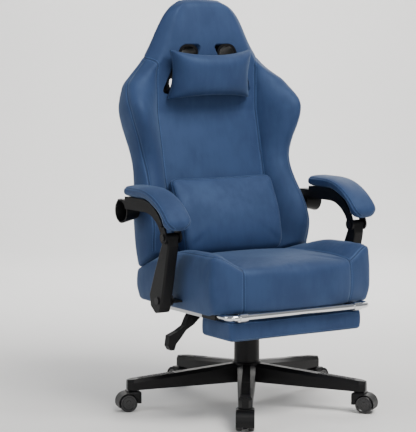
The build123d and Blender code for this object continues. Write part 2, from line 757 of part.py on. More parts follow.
def seat_plate():
    """Plate under the pan with two ears on the tilt pin."""
    plate = block((-PLATE_HALF, PLATE_FRONT, PLATE_BOTTOM), (PLATE_HALF, PLATE_REAR, PAN_BOTTOM))
    plate = fillet(plate.edges().filter_by(Axis.Z), BOLT_INSET)
    inner = ear_inner()
    low = PLATE_BOTTOM - EAR_DROP
    for side in (-1, 1):
        x = inner if side > 0 else -inner - EAR_THICK
        ear = block((x, TILT_Y - EAR_WIDTH / 2, low), (x + EAR_THICK, TILT_Y + EAR_WIDTH / 2, PLATE_BOTTOM))
        plate += fillet(ear.edges().filter_by(Axis.X).group_by(Axis.Z)[0], EAR_WIDTH / 3)
    plate -= cross_pin(TILT_Y, TILT_Z, TILT_PIN_R + RUN, -PLATE_HALF, PLATE_HALF)
    for place in plate_bolt_places():
        plate -= place * upright(BOLT_R + RUN, PLATE_BOTTOM - EAR_THICK, PAN_BOTTOM + EAR_THICK)
    return plate


def seat_pan():
    pan = block((-PAN_HALF, PAN_FRONT, PAN_BOTTOM), (PAN_HALF, PAN_REAR, PAN_BOTTOM + PAN_THICK))
    pan = fillet(pan.edges().filter_by(Axis.Z), PAN_CORNER)
    for place in plate_bolt_places():
        pan -= place * upright(BOLT_R + RUN, PAN_BOTTOM - PAN_THICK, PAN_BOTTOM + 2 * PAN_THICK)
    return pan


def seat_bolts():
    head = Pos(0, 0, PLATE_BOTTOM - BOLT_HEAD) * extrude(RegularPolygon(BOLT_HEAD_R, 6), BOLT_HEAD)
    bolt = head + upright(BOLT_R, PLATE_BOTTOM, PAN_BOTTOM + PAN_THICK)
    return Compound([(place * bolt).solid() for place in plate_bolt_places()])


def seat_section(y):
    """Section across the seat: drawn-in sides, rounded bolsters and a crowned middle panel."""
    run = y - SEAT_FRONT
    half = SEAT_HALF + smooth_through(SEAT_HALF_LINE, run)
    bottom = SEAT_BOTTOM + smooth_through(SEAT_BOTTOM_LINE, run)
    middle = SEAT_TOP + smooth_through(SEAT_TOP_LINE, run)
    bolster = BOLSTER_TOP + smooth_through(BOLSTER_LINE, run)
    ridge = half - BOLSTER_INSET
    seam = min(SEAT_HALF - SEAT_SEAM_INSET, ridge - BOLSTER_WIDTH)
    foot = half - SEAT_TUCK
    waist = (bottom + bolster) / 2
    seam_z = middle - SEAT_SEAM_DROP
    fall = (ridge + seam) / 2
    fall_z = (bolster + seam_z) / 2 + BOLSTER_SWELL
    return ring_face([
        line((-foot, y, bottom), (foot, y, bottom)),
        arc((foot, y, bottom), (half, y, waist), (ridge, y, bolster)),
        arc((ridge, y, bolster), (fall, y, fall_z), (seam, y, seam_z)),
        arc((seam, y, seam_z), (0, y, middle), (-seam, y, seam_z)),
        arc((-seam, y, seam_z), (-fall, y, fall_z), (-ridge, y, bolster)),
        arc((-ridge, y, bolster), (-half, y, waist), (-foot, y, bottom)),
    ])


def seat_cushion():
    cushion = loft([seat_section(SEAT_FRONT + run) for run in SEAT_STATIONS])
    pocket = block((-PAN_HALF - SOFT, PAN_FRONT - SOFT, SEAT_BOTTOM - SEAT_TUCK),
                   (PAN_HALF + SOFT, PAN_REAR + SOFT, PAN_BOTTOM + PAN_THICK + SOFT))
    cushion -= fillet(pocket.edges().filter_by(Axis.Z), PAN_CORNER)
    low = PAN_BOTTOM + PAN_THICK
    for side in (-1, 1):
        ends = sorted((side * (POST_BRACKET_INNER - SOFT), side * (SEAT_HALF + SEAT_TUCK)))
        half = POST_BRACKET_WIDTH / 2 + SOFT
        cushion -= block((ends[0], POST_PIVOT[0] - half, low),
                         (ends[1], POST_PIVOT[0] + half, low + POST_BRACKET_THICK + SOFT))
        plates = sorted((side * (HINGE_PLATE_X - HINGE_PLATE - GAP - SOFT),
                         side * (HINGE_PLATE_X + HINGE_PLATE + SOFT)))
        cushion -= block((plates[0], HINGE_SLOT_FRONT, low), (plates[1], TAIL_REAR + SEAT_TUCK, BOLSTER_TOP))
        foot = sorted((side * (HINGE_PLATE_X - HINGE_FOOT_WIDTH - SOFT), plates[(side + 1) // 2]))
        cushion -= block((foot[0], PAN_REAR - PAN_CORNER, SEAT_BOTTOM - SEAT_TUCK),
                         (foot[1], TAIL_REAR + SEAT_TUCK, low + SOFT))
    cushion -= block((-TAIL_INNER, SEAT_REAR, 0), (TAIL_INNER, TAIL_REAR + SEAT_TUCK, BOLSTER_TOP))
    groove = bar_along_y(TUBE_BAR_R + SOFT, SEAT_FRONT, PAN_FRONT + PAN_CORNER)
    cushion -= [groove, mirror(groove, about=Plane.YZ)]
    return cushion - cross_pin(RELEASE_Y, RELEASE_Z, RELEASE_PIN_R + SOFT, 0, SEAT_HALF)


def post_brackets():
    """Flat arms out of the cushion's sides, each with an upright ear and the post's pin."""
    y, z = POST_PIVOT
    half = POST_BRACKET_WIDTH / 2
    low = PAN_BOTTOM + PAN_THICK
    arm = block((POST_BRACKET_INNER, y - half, low), (POST_BRACKET_OUTER, y + half, low + POST_BRACKET_THICK))
    lobe = [(y - half, low), (y + half, low), (y + POST_BRACKET_LOBE_R, z), (y - POST_BRACKET_LOBE_R, z)]
    inner = POST_BRACKET_OUTER - POST_BRACKET_THICK
    bracket = arm + side_plate(lobe, inner, POST_BRACKET_THICK)
    bracket += cross_pin(y, z, POST_BRACKET_LOBE_R, inner, POST_BRACKET_OUTER)
    post_end = ARM_X + POST_HALF + GAP
    bracket += cross_pin(y, z, POST_PIN_R, POST_BRACKET_OUTER, post_end + PIN_HEAD)
    bracket += cross_pin(y, z, POST_PIN_R + PIN_HEAD_OVER, post_end, post_end + PIN_HEAD)
    return both_sides(bracket)


def recliner_plates():
    """Seat-side hinge plates with an upright cheek behind the cushion, the left one with the lever's pin."""
    rear = HINGE_Y + HINGE_LOBE_R
    front = SEAT_REAR + SOFT
    low = PAN_BOTTOM - HINGE_PLATE
    outline = [
        (HINGE_FOOT_FRONT, low),
        (HINGE_Y - HINGE_LOBE_R / 2, low),
        (rear, HINGE_Z - HINGE_LOBE_R),
        (rear, HINGE_Z),
        (front, HINGE_Z),
        (front, PAN_BOTTOM),
        (HINGE_FOOT_FRONT, PAN_BOTTOM),
    ]
    cheek = side_plate(outline, HINGE_PLATE_X, HINGE_PLATE)
    cheek += cross_pin(HINGE_Y, HINGE_Z, HINGE_LOBE_R, HINGE_PLATE_X, HINGE_PLATE_X + HINGE_PLATE)
    inner = HINGE_PLATE_X - HINGE_FOOT_WIDTH
    cheek += block((inner, HINGE_FOOT_FRONT, low), (HINGE_PLATE_X, PAN_REAR, PAN_BOTTOM))
    cheek -= cross_pin(HINGE_Y, HINGE_Z, HINGE_PIN_R + RUN, inner, HINGE_PLATE_X + HINGE_FOOT_WIDTH)
    right = mirror(cheek, about=Plane.YZ)
    release_end = RELEASE_X + RELEASE_THICK + GAP + PIN_HEAD
    left = cheek + cross_pin(RELEASE_Y, RELEASE_Z, RELEASE_PIN_R, HINGE_PLATE_X, release_end)
    return Compound([left.solid(), right.solid()])


def recliner_pins():
    inner = HINGE_PLATE_X - HINGE_PLATE_GAP - HINGE_PLATE - GAP
    outer = HINGE_PLATE_X + HINGE_PLATE + GAP
    pin = cross_pin(HINGE_Y, HINGE_Z, HINGE_PIN_R, inner - PIN_HEAD, outer + PIN_HEAD)
    head = HINGE_PIN_R + PIN_HEAD_OVER
    pin += cross_pin(HINGE_Y, HINGE_Z, head, inner - PIN_HEAD, inner)
    pin += cross_pin(HINGE_Y, HINGE_Z, head, outer, outer + PIN_HEAD)
    return both_sides(pin)


def recline_lever():
    """Flat hand lever beside the seat, on the sitter's left."""
    half = RELEASE_WIDTH / 2
    tip_y = RELEASE_Y - RELEASE_LENGTH
    tip_z = RELEASE_Z + RELEASE_RISE
    outline = [
        (RELEASE_Y, RELEASE_Z - half),
        (RELEASE_Y, RELEASE_Z + half),
        (tip_y, tip_z + half / 2),
        (tip_y, tip_z - half / 2),
    ]
    lever = side_plate(outline, RELEASE_X, RELEASE_THICK)
    outer = RELEASE_X + RELEASE_THICK
    lever += cross_pin(RELEASE_Y, RELEASE_Z, half, RELEASE_X, outer)
    lever += cross_pin(tip_y, tip_z, half / 2, RELEASE_X, outer)
    return lever - cross_pin(RELEASE_Y, RELEASE_Z, RELEASE_PIN_R + RUN, RELEASE_X - GAP, outer + GAP)


# Footrest
def rail_low():
    return PAN_BOTTOM - RAIL_DEPTH


def footrest_rails():
    """Channels under the pan, open below between two lips."""
    low = rail_low()
    rail = block((RAIL_X - RAIL_HALF, RAIL_FRONT, low), (RAIL_X + RAIL_HALF, RAIL_REAR, PAN_BOTTOM))
    inside = RAIL_HALF - RAIL_WALL
    rail -= block((RAIL_X - inside, RAIL_FRONT, low + RAIL_WALL),
                  (RAIL_X + inside, RAIL_REAR - RAIL_WALL, PAN_BOTTOM - RAIL_WALL))
    slot = inside - RAIL_LIP
    rail -= block((RAIL_X - slot, RAIL_FRONT, low - RAIL_WALL),
                  (RAIL_X + slot, RAIL_REAR, low + 2 * RAIL_WALL))
    return both_sides(rail)


def bar_along_y(radius, front, rear):
    bar = Rot(-90, 0, 0) * Cylinder(radius, rear - front, align=FLOOR_UP)
    return Pos(RAIL_X, front, TUBE_BAR_Z) * bar


def rail_guides():
    """Blocks at the front of the rails with a bore for the tube."""
    guide = block((RAIL_X - RAIL_HALF, GUIDE_FRONT, rail_low()), (RAIL_X + RAIL_HALF, RAIL_FRONT, PAN_BOTTOM))
    front_edges = guide.faces().sort_by(Axis.Y)[0].edges()
    guide = chamfer(front_edges.filter_by(Axis.Z), RAIL_WALL)
    return both_sides(guide - bar_along_y(TUBE_BAR_R + RUN, GUIDE_FRONT - RAIL_WALL, RAIL_FRONT + RAIL_WALL))


def footrest_tube():
    """Bright tube bent to a U, open to the rear."""
    straight = TUBE_BAR_Y + TUBE_BAR_CORNER
    corner = RAIL_X - TUBE_BAR_CORNER
    diagonal = TUBE_BAR_CORNER * (1 - cos(radians(45)))
    z = TUBE_BAR_Z
    path = Wire([
        line((-RAIL_X, TUBE_BAR_REAR, z), (-RAIL_X, straight, z)),
        arc((-RAIL_X, straight, z), (-RAIL_X + diagonal, TUBE_BAR_Y + diagonal, z), (-corner, TUBE_BAR_Y, z)),
        line((-corner, TUBE_BAR_Y, z), (corner, TUBE_BAR_Y, z)),
        arc((corner, TUBE_BAR_Y, z), (RAIL_X - diagonal, TUBE_BAR_Y + diagonal, z), (RAIL_X, straight, z)),
        line((RAIL_X, straight, z), (RAIL_X, TUBE_BAR_REAR, z)),
    ])
    start = Plane(origin=(-RAIL_X, TUBE_BAR_REAR, z), z_dir=(0, -1, 0))
    bore = sweep(start * Circle(TUBE_BAR_R - TUBE_BAR_WALL), path=path)
    return sweep(start * Circle(TUBE_BAR_R), path=path) - bore


def tube_sliders():
    """Sliders on the tube's rear ends, guided inside the rails."""
    half = RAIL_HALF - RAIL_WALL - GAP
    low = rail_low() + RAIL_WALL + GAP
    high = PAN_BOTTOM - RAIL_WALL - GAP
    front = TUBE_BAR_REAR - SLIDER_LENGTH
    slider = block((RAIL_X - half, front, low), (RAIL_X + half, TUBE_BAR_REAR, high))
    return both_sides(slider - bar_along_y(TUBE_BAR_R + RUN, front - GAP, TUBE_BAR_REAR + GAP))


def foot_pad_section(y, half, bottom, top):
    edge = half - FOOT_PAD_TUCK - FOOT_PAD_CROWN
    rim = bottom + FOOT_PAD_CROWN
    middle = (bottom + top) / 2
    return ring_face([
        arc((-edge, y, rim), (0, y, bottom), (edge, y, rim)),
        arc((edge, y, rim), (half, y, middle), (edge, y, top)),
        line((edge, y, top), (-edge, y, top)),
        arc((-edge, y, top), (-half, y, middle), (-edge, y, rim)),
    ])


def footrest_pad():
    """Padded footrest, stowed with its crowned face down."""
    stations = [(FOOT_PAD_FRONT + run, inset, lift) for run, inset, lift in FOOT_PAD_ENDS]
    stations.append(((FOOT_PAD_FRONT + FOOT_PAD_REAR) / 2, 0, 0))
    stations += [(FOOT_PAD_REAR - run, inset, lift) for run, inset, lift in reversed(FOOT_PAD_ENDS)]
    sections = []
    for y, inset, lift in stations:
        sections.append(foot_pad_section(y, FOOT_PAD_HALF - inset, FOOT_PAD_BOTTOM + lift, FOOT_PAD_TOP))
    return loft(sections)


def footrest_board():
    """Board on the pad's back with two sleeves round the bar."""
    low = FOOT_PAD_TOP + SOFT
    board = block((-FOOT_PAD_HALF + FOOT_BOARD_INSET, FOOT_PAD_FRONT, low),
                  (FOOT_PAD_HALF - FOOT_BOARD_INSET, FOOT_PAD_REAR - FOOT_BOARD_INSET, low + FOOT_BOARD))
    board = fillet(board.edges().filter_by(Axis.Z), FOOT_BOARD_INSET)
    sleeve_r = TUBE_BAR_R + CLIP_WALL
    for x in (-CLIP_X, CLIP_X):
        ends = (x - CLIP_WIDTH / 2, x + CLIP_WIDTH / 2)
        board += cross_pin(TUBE_BAR_Y, TUBE_BAR_Z, sleeve_r, *ends)
        board += block((ends[0], TUBE_BAR_Y, low), (ends[1], FOOT_PAD_FRONT + sleeve_r, low + FOOT_BOARD))
    return board - cross_pin(TUBE_BAR_Y, TUBE_BAR_Z, TUBE_BAR_R + RUN, -RAIL_X, RAIL_X)


# Back
def panel_reach(height):
    return smooth_through(PANEL_LINE, height)


def rear_reach(height):
    return smooth_through(REAR_LINE, height)


def back_section(height):
    """Section across the back: rear bow, wing sides, wing fronts and the crowned middle panel."""
    half = smooth_through(BACK_HALF_LINE, height)
    tip = smooth_through(WING_LINE, height)
    panel = panel_reach(height) - PANEL_CROWN
    rear = rear_reach(height)
    squeeze = half / (half + WING_EDGE)
    tip_x = half - WING_EDGE * squeeze
    rear_x = half - REAR_EDGE * squeeze
    seam = min(PANEL_HALF, tip_x * PANEL_SHARE)
    rear_edge = rear + REAR_BOW * squeeze
    fall_x = (tip_x + seam) / 2
    fall = (tip + panel) / 2 + WING_SWELL

    def at(x, reach):
        return (x, -reach, height)

    return ring_face([
        arc(at(-rear_x, rear_edge), at(0, rear), at(rear_x, rear_edge)),
        arc(at(rear_x, rear_edge), at(half, (rear_edge + tip) / 2), at(tip_x, tip)),
        arc(at(tip_x, tip), at(fall_x, fall), at(seam, panel)),
        arc(at(seam, panel), at(0, panel + PANEL_CROWN), at(-seam, panel)),
        arc(at(-seam, panel), at(-fall_x, fall), at(-tip_x, tip)),
        arc(at(-tip_x, tip), at(-half, (rear_edge + tip) / 2), at(-rear_x, rear_edge)),
    ])


def opening_outline(inset):
    """Rounded slanting outline of the opening on the sitter's left, drawn in by an inset."""
    corners = [
        (OPENING_TOP_INNER + inset, OPENING_TOP - inset),
        (OPENING_TOP_OUTER - inset, OPENING_TOP - inset),
        (OPENING_BOTTOM_OUTER - inset, OPENING_BOTTOM + inset),
        (OPENING_BOTTOM_INNER + inset, OPENING_BOTTOM + inset),
    ]
    sketch = Polygon(*corners, align=None)
    return fillet(sketch.vertices(), OPENING_ROUND - inset / 2)


def opening_prism(inset):
    """Opening carried right through the back, in the back's own frame."""
    depth = BACK_MAX_HALF
    return Pos(0, -depth, 0) * extrude(Plane.XZ * opening_outline(inset), 2 * depth, dir=(0, 1, 0))


def frame_outline(room):
    """Cranked side plate of the back frame, as (reach, height), widened by some room."""
    hinge_height, hinge_reach = to_back(HINGE_Y, HINGE_Z)
    half = FRAME_WIDTH / 2 + room
    front = to_back(ARM_PIVOT_Y, ARM_PIVOT_Z)[1] + half
    rear = FRAME_BAR_REACH - FRAME_BAR_R - room
    return [
        (hinge_reach - HINGE_LOBE_R + FRAME_INSET, hinge_height + HINGE_PLATE),
        (hinge_reach + HINGE_LOBE_R / 2, hinge_height - HINGE_LOBE_R + 3 * FRAME_INSET),
        (front, BACK_FOOT),
        (front, FRAME_TOP + room),
        (rear, FRAME_TOP + room),
        (rear, BACK_FOOT + half),
    ]


def back_plate(room):
    outer = HINGE_PLATE_X - HINGE_PLATE_GAP
    points = [(-reach, height) for reach, height in frame_outline(room)]
    return side_plate(points, outer - HINGE_PLATE - room, HINGE_PLATE + 2 * room)


def back_frame():
    """Steel side plates joined by a cross tube, hinged on the recliner pins."""
    hinge_height, hinge_reach = to_back(HINGE_Y, HINGE_Z)
    pivot_height, pivot_reach = to_back(ARM_PIVOT_Y, ARM_PIVOT_Z)
    outer = HINGE_PLATE_X - HINGE_PLATE_GAP
    plate = back_plate(0)
    plate += cross_pin(-hinge_reach, hinge_height, HINGE_LOBE_R, outer - HINGE_PLATE, outer)
    plate -= cross_pin(-hinge_reach, hinge_height, HINGE_PIN_R + RUN, 0, 2 * outer)
    plate -= cross_pin(-pivot_reach, pivot_height, ARM_PIVOT_R + RUN, 0, 2 * outer)
    bar = cross_pin(-FRAME_BAR_REACH, FRAME_BAR_HEIGHT, FRAME_BAR_R, -outer + GAP, outer - GAP)
    return BACK_PLACE * (plate + mirror(plate, about=Plane.YZ) + bar)


def arm_pivot_pins():
    """Headed pins from the back frame out through the back's sides into the arms."""
    height, reach = to_back(ARM_PIVOT_Y, ARM_PIVOT_Z)
    inner = HINGE_PLATE_X - HINGE_PLATE_GAP - HINGE_PLATE
    head = SCOOP_X + SCOOP_FLOOR + GAP
    pin = cross_pin(-reach, height, ARM_PIVOT_R, inner, head + PIN_HEAD)
    pin += cross_pin(-reach, height, ARM_PIVOT_R + PIN_HEAD_OVER, head, head + PIN_HEAD)
    return both_sides(BACK_PLACE * pin)


def back_cushion():
    cushion = loft([back_section(height) for height in BACK_STATIONS])
    hole = opening_prism(0)
    cushion -= [hole, mirror(hole, about=Plane.YZ)]
    room = back_plate(SOFT)
    cushion -= [room, mirror(room, about=Plane.YZ)]
    outer = HINGE_PLATE_X
    cushion -= cross_pin(-FRAME_BAR_REACH, FRAME_BAR_HEIGHT, FRAME_BAR_R + SOFT, -outer, outer)
    height, reach = to_back(ARM_PIVOT_Y, ARM_PIVOT_Z)
    pin_room = cross_pin(-reach, height, ARM_PIVOT_R + SOFT, outer - 2 * HINGE_PLATE, BACK_MAX_HALF)
    cushion -= [pin_room, mirror(pin_room, about=Plane.YZ)]
    return BACK_PLACE * cushion


def bezel_reach(height):
    """Front of the trim rings, a straight slope from the foot of the openings to their head."""
    low = panel_reach(OPENING_BOTTOM)
    share = (height - OPENING_BOTTOM) / (OPENING_TOP - OPENING_BOTTOM)
    return low + share * (panel_reach(OPENING_TOP) - low) + BEZEL_PROUD


def opening_bezels():
    """Trim rings that line the two openings and stand a little proud of both faces."""
    slab = []
    for height in (OPENING_BOTTOM, OPENING_TOP):
        slab.append((-bezel_reach(height), height))
    for height in (OPENING_TOP, OPENING_BOTTOM):
        slab.append((-rear_reach(height) + BEZEL_PROUD, height))
    ring = opening_prism(SOFT) - opening_prism(BEZEL_WALL)
    ring &= side_plate(slab, -BACK_MAX_HALF, 2 * BACK_MAX_HALF)
    return both_sides(BACK_PLACE * ring)


def lumbar_section(rise):
    """Flat rear, rounded sides and a crowned front."""
    rear = PANEL_REACH + SOFT
    thick = smooth_through(LUMBAR_THICK_LINE, rise)
    half = smooth_through(LUMBAR_HALF_LINE, rise)
    reach = rear + thick
    edge = rear + LUMBAR_FRONT_SHARE * thick
    side = LUMBAR_SIDE_SHARE * thick

    def at(x, out):
        return (x, -out, LUMBAR_FOOT + rise)

    return ring_face([
        line(at(-half + side, rear), at(half - side, rear)),
        arc(at(half - side, rear), at(half, (rear + edge) / 2), at(half - side, edge)),
        arc(at(half - side, edge), at(0, reach), at(-half + side, edge)),
        arc(at(-half + side, edge), at(-half, (rear + edge) / 2), at(-half + side, rear)),
    ])


def lumbar_cushion():
    return BACK_PLACE * loft([lumbar_section(rise) for rise, thick in LUMBAR_THICK_LINE])


# Head pillow, in a frame whose upright follows the slope of the back behind it
def pillow_lean():
    low = PILLOW_MIDDLE - PILLOW_CORNER
    high = PILLOW_MIDDLE + PILLOW_CORNER
    return degrees(atan2(panel_reach(high) - panel_reach(low), high - low))


def pillow_seat():
    """Furthest reach of the back behind the pillow, measured square to the pillow's own upright."""
    lean = radians(pillow_lean())
    furthest = 0.0
    for step in range(-PILLOW_SAMPLES, PILLOW_SAMPLES + 1):
        height = PILLOW_MIDDLE + step * PILLOW_CORNER / PILLOW_SAMPLES
        reach = max(panel_reach(height), bezel_reach(height))
        furthest = max(furthest, reach - (height - PILLOW_MIDDLE) * sin(lean) / cos(lean))
    return furthest


def pillow_place():
    return BACK_PLACE * Pos(0, -pillow_seat(), PILLOW_MIDDLE) * Rot(pillow_lean(), 0, 0)


def pillow_section(x):
    """Section of the pillow at one place along its width: taller and thinner towards the ends."""
    share = abs(x) / PILLOW_HALF
    tall = PILLOW_WAIST + (PILLOW_CORNER - PILLOW_WAIST) * share * share
    deep = PILLOW_EDGE + (PILLOW_DEPTH - PILLOW_EDGE) * (1 - share * share) ** 0.5
    rear = STRAP_THICK + 2 * SOFT + (PILLOW_DEPTH - deep) * PILLOW_REAR_DRAW
    front = rear + deep
    edge = PILLOW_FLAT * tall
    back_edge = rear + PILLOW_REAR_SHARE * deep
    front_edge = rear + PILLOW_FRONT_SHARE * deep
    middle = (back_edge + front_edge) / 2

    def at(out, height):
        return (x, -out, height)

    return ring_face([
        arc(at(back_edge, -edge), at(middle, -tall), at(front_edge, -edge)),
        arc(at(front_edge, -edge), at(front, 0), at(front_edge, edge)),
        arc(at(front_edge, edge), at(middle, tall), at(back_edge, edge)),
        arc(at(back_edge, edge), at(rear, 0), at(back_edge, -edge)),
    ])


def head_pillow():
    return pillow_place() * loft([pillow_section(share * PILLOW_HALF) for share in PILLOW_STATIONS])


def head_strap():
    """Elastic band round the middle of the back, through both openings and behind the pillow."""
    front = STRAP_THICK + SOFT
    depth = pillow_seat() - rear_reach(PILLOW_MIDDLE) + STRAP_REAR_ROOM + front
    outer = Rectangle(2 * STRAP_HALF, depth, align=(Align.CENTER, Align.MIN))
    hole = Rectangle(2 * (STRAP_HALF - STRAP_THICK), depth - 2 * STRAP_THICK, align=(Align.CENTER, Align.MIN))
    outer = fillet(outer.vertices(), 3 * STRAP_THICK)
    hole = fillet(hole.vertices(), 2 * STRAP_THICK)
    band = extrude(outer - Pos(0, STRAP_THICK) * hole, STRAP_WIDTH, dir=(0, 0, 1))
    return pillow_place() * Pos(0, -front, -STRAP_WIDTH / 2) * band


# Armrests, built on the sitter's left
def on_side(solid, side):
    return solid if SIDES[side] > 0 else mirror(solid, about=Plane.YZ)


def arm_band(inner, outer, rear, end_angle):
    """Side view of a band that runs level from the rear and bends down about the arm's bend."""
    half_angle = end_angle / 2
    start = arm_point(outer, 0)
    back = arm_point(inner, 0)
    edges = [
        Line((rear, start[1]), start),
        ThreePointArc(start, arm_point(outer, half_angle), arm_point(outer, end_angle)),
        Line(arm_point(outer, end_angle), arm_point(inner, end_angle)),
        ThreePointArc(arm_point(inner, end_angle), arm_point(inner, half_angle), back),
        Line(back, (rear, back[1])),
        Line((rear, back[1]), (rear, start[1])),
    ]
    return make_face(edges)


def across_arm(sketch, half):
    return Pos(ARM_X - half, 0, 0) * extrude(Plane.YZ * sketch, 2 * half, dir=(1, 0, 0))


def arm_pad_outline(x, inset):
    """Side view of the pad at one place across it: level, bent down in front, with a full round nose."""
    top = ARM_TOP - inset
    bend_r = ARM_NOSE_BEND_R - inset
    nose_run = ARM_NOSE_BEND_Y - ARM_NOSE_Y - inset
    turn = asin(nose_run / bend_r)
    bend = (x, ARM_NOSE_BEND_Y, top)
    half_way = (x, ARM_NOSE_BEND_Y - bend_r * sin(turn / 2), top - bend_r * (1 - cos(turn / 2)))
    nose = (x, ARM_NOSE_Y + inset, top - bend_r * (1 - cos(turn)))
    under_end = (x, *arm_point(ARM_BEND_R, ARM_PAD_END - inset / 2))
    under_middle = (x, *arm_point(ARM_BEND_R, ARM_PAD_END / 2))
    under = (x, *arm_point(ARM_BEND_R, 0))
    rear_low = (x, ARM_REAR - inset, under[2])
    rear_high = (x, ARM_REAR - inset, top)
    rear_middle = (x, ARM_REAR - inset + ARM_PAD_THICK / 3, (under[2] + top) / 2)
    return ring_face([
        line(rear_high, bend),
        arc(bend, half_way, nose),
        TangentArc(nose, under_end, tangent=(0, -cos(turn), -sin(turn))),
        arc(under_end, under_middle, under),
        line(under, rear_low),
        arc(rear_low, rear_middle, rear_high),
    ])


def arm_pad(side):
    """Padded top, crowned across and drawn in at both edges."""
    sections = []
    for share in ARM_PAD_STATIONS:
        inset = ARM_PAD_ROUND * (1 - (1 - share ** 4) ** 0.5)
        sections.append(arm_pad_outline(ARM_X + share * ARM_PAD_HALF, inset))
    return on_side(loft(sections), side)


def arm_plate(side):
    """Backing plate under the pad."""
    outer = ARM_BEND_R - SOFT
    band = arm_band(outer - ARM_PLATE_THICK, outer, ARM_REAR, ARM_PLATE_END)
    return on_side(across_arm(band, ARM_PLATE_HALF), side)


def scoop_turning(points):
    """Turned shape about the arm's rear pivot, from (distance outwards, radius) points."""
    turned = revolve(Plane.XY * Polygon(*points, align=None), Axis.X)
    return Pos(SCOOP_X, ARM_PIVOT_Y, ARM_PIVOT_Z) * turned


def arm_frame(side):
    """Arched beam with two ears for the post's knuckle, ribbed below, and a flared cup at its rear."""
    band = arm_band(FRAME_INNER, FRAME_OUTER, ARM_PIVOT_Y + SCOOP_ROOT_R / 2, KNUCKLE_ANGLE)
    frame = across_arm(band, ARM_FRAME_HALF)
    frame += cross_pin(*KNUCKLE, EAR_R, ARM_X - ARM_FRAME_HALF, ARM_X + ARM_FRAME_HALF)
    lip = SCOOP_MOUTH_R - SCOOP_WALL
    floor_r = SCOOP_ROOT_R - SCOOP_WALL
    frame += scoop_turning([(0, 0), (0, SCOOP_ROOT_R), (SCOOP_DEPTH - SCOOP_WALL, SCOOP_MOUTH_R),
                            (SCOOP_DEPTH, SCOOP_MOUTH_R), (SCOOP_DEPTH, 0)])
    open_end = 2 * SCOOP_DEPTH
    frame -= scoop_turning([(SCOOP_FLOOR, 0), (SCOOP_FLOOR, floor_r), (SCOOP_DEPTH, lip),
                            (open_end, lip), (open_end, 0)])
    frame -= cross_pin(ARM_PIVOT_Y, ARM_PIVOT_Z, ARM_PIVOT_R + RUN, SCOOP_X - SCOOP_FLOOR,
                       SCOOP_X + SCOOP_DEPTH)
    room = KNUCKLE_HALF + EAR_SIDE_GAP
    frame -= cross_pin(*KNUCKLE, KNUCKLE_ROOM, ARM_X - room, ARM_X + room)
    frame -= cross_pin(*KNUCKLE, ARM_PIN_R + RUN, ARM_X - ARM_PAD_HALF, ARM_X + ARM_PAD_HALF)
    low = arm_point(FRAME_INNER, 0)[1]
    pocket_half = ARM_FRAME_HALF - ARM_RIB
    run = ARM_PIVOT_Y - SCOOP_MOUTH_R - ARM_BEND_Y
    pitch = run / ARM_POCKET_COUNT
    for i in range(ARM_POCKET_COUNT):
        start = ARM_BEND_Y + i * pitch
        frame -= block((ARM_X - pocket_half, start + ARM_RIB, low - ARM_RIB),
                       (ARM_X + pocket_half, start + pitch, low + ARM_POCKET_DEPTH))
    return on_side(frame, side)


def arm_pin(side):
    end = ARM_FRAME_HALF + GAP
    pin = cross_pin(*KNUCKLE, ARM_PIN_R, ARM_X - end - PIN_HEAD, ARM_X + end + PIN_HEAD)
    head = ARM_PIN_R + PIN_HEAD_OVER
    pin += cross_pin(*KNUCKLE, head, ARM_X - end - PIN_HEAD, ARM_X - end)
    pin += cross_pin(*KNUCKLE, head, ARM_X + end, ARM_X + end + PIN_HEAD)
    return on_side(pin, side)


def arm_post(side):
    """Post from the pin under the seat up to the knuckle, with a rounded heel behind its foot."""
    top_y, top_z = KNUCKLE
    foot_y, foot_z = POST_PIVOT
    front_foot = foot_y - POST_FRONT_FOOT
    heel = foot_y + POST_HEEL
    outline = [
        (top_y - KNUCKLE_R, top_z),
        (top_y + KNUCKLE_R, top_z),
        (top_y + 2 * KNUCKLE_R, top_z - 2 * KNUCKLE_R),
        (foot_y + POST_WAIST, foot_z + POST_WAIST_Z),
        (heel, foot_z + POST_HEEL_Z),
        (heel - POST_ROUND, foot_z - POST_FOOT_DROP / 2),
        (foot_y + POST_WAIST, foot_z - POST_FOOT_DROP),
        (front_foot + POST_ROUND, foot_z - POST_FOOT_DROP + POST_ROUND),
        (front_foot - POST_ROUND, foot_z),
        (top_y - POST_FRONT_TOP, top_z - 2 * KNUCKLE_R),
    ]
    sketch = Polygon(*outline, align=None)
    corners = sketch.vertices().sort_by(Axis.Y)[:-2]
    sketch = fillet(corners, 2 * POST_ROUND)
    post = across_arm(sketch, POST_HALF)
    rim = [edge for edge in post.edges() if abs(abs(edge.center().X - ARM_X) - POST_HALF) < RUN]
    low_rim = [edge for edge in rim if edge.bounding_box().max.Z < top_z - KNUCKLE_R]
    post = fillet(low_rim, POST_ROUND)
    post += cross_pin(top_y, top_z, KNUCKLE_R, ARM_X - KNUCKLE_HALF, ARM_X + KNUCKLE_HALF)
    post -= cross_pin(top_y, top_z, ARM_PIN_R + RUN, ARM_X - ARM_PAD_HALF, ARM_X + ARM_PAD_HALF)
    post -= cross_pin(foot_y, foot_z, POST_PIN_R + RUN, ARM_X - ARM_PAD_HALF, ARM_X + ARM_PAD_HALF)
    return on_side(post, side)


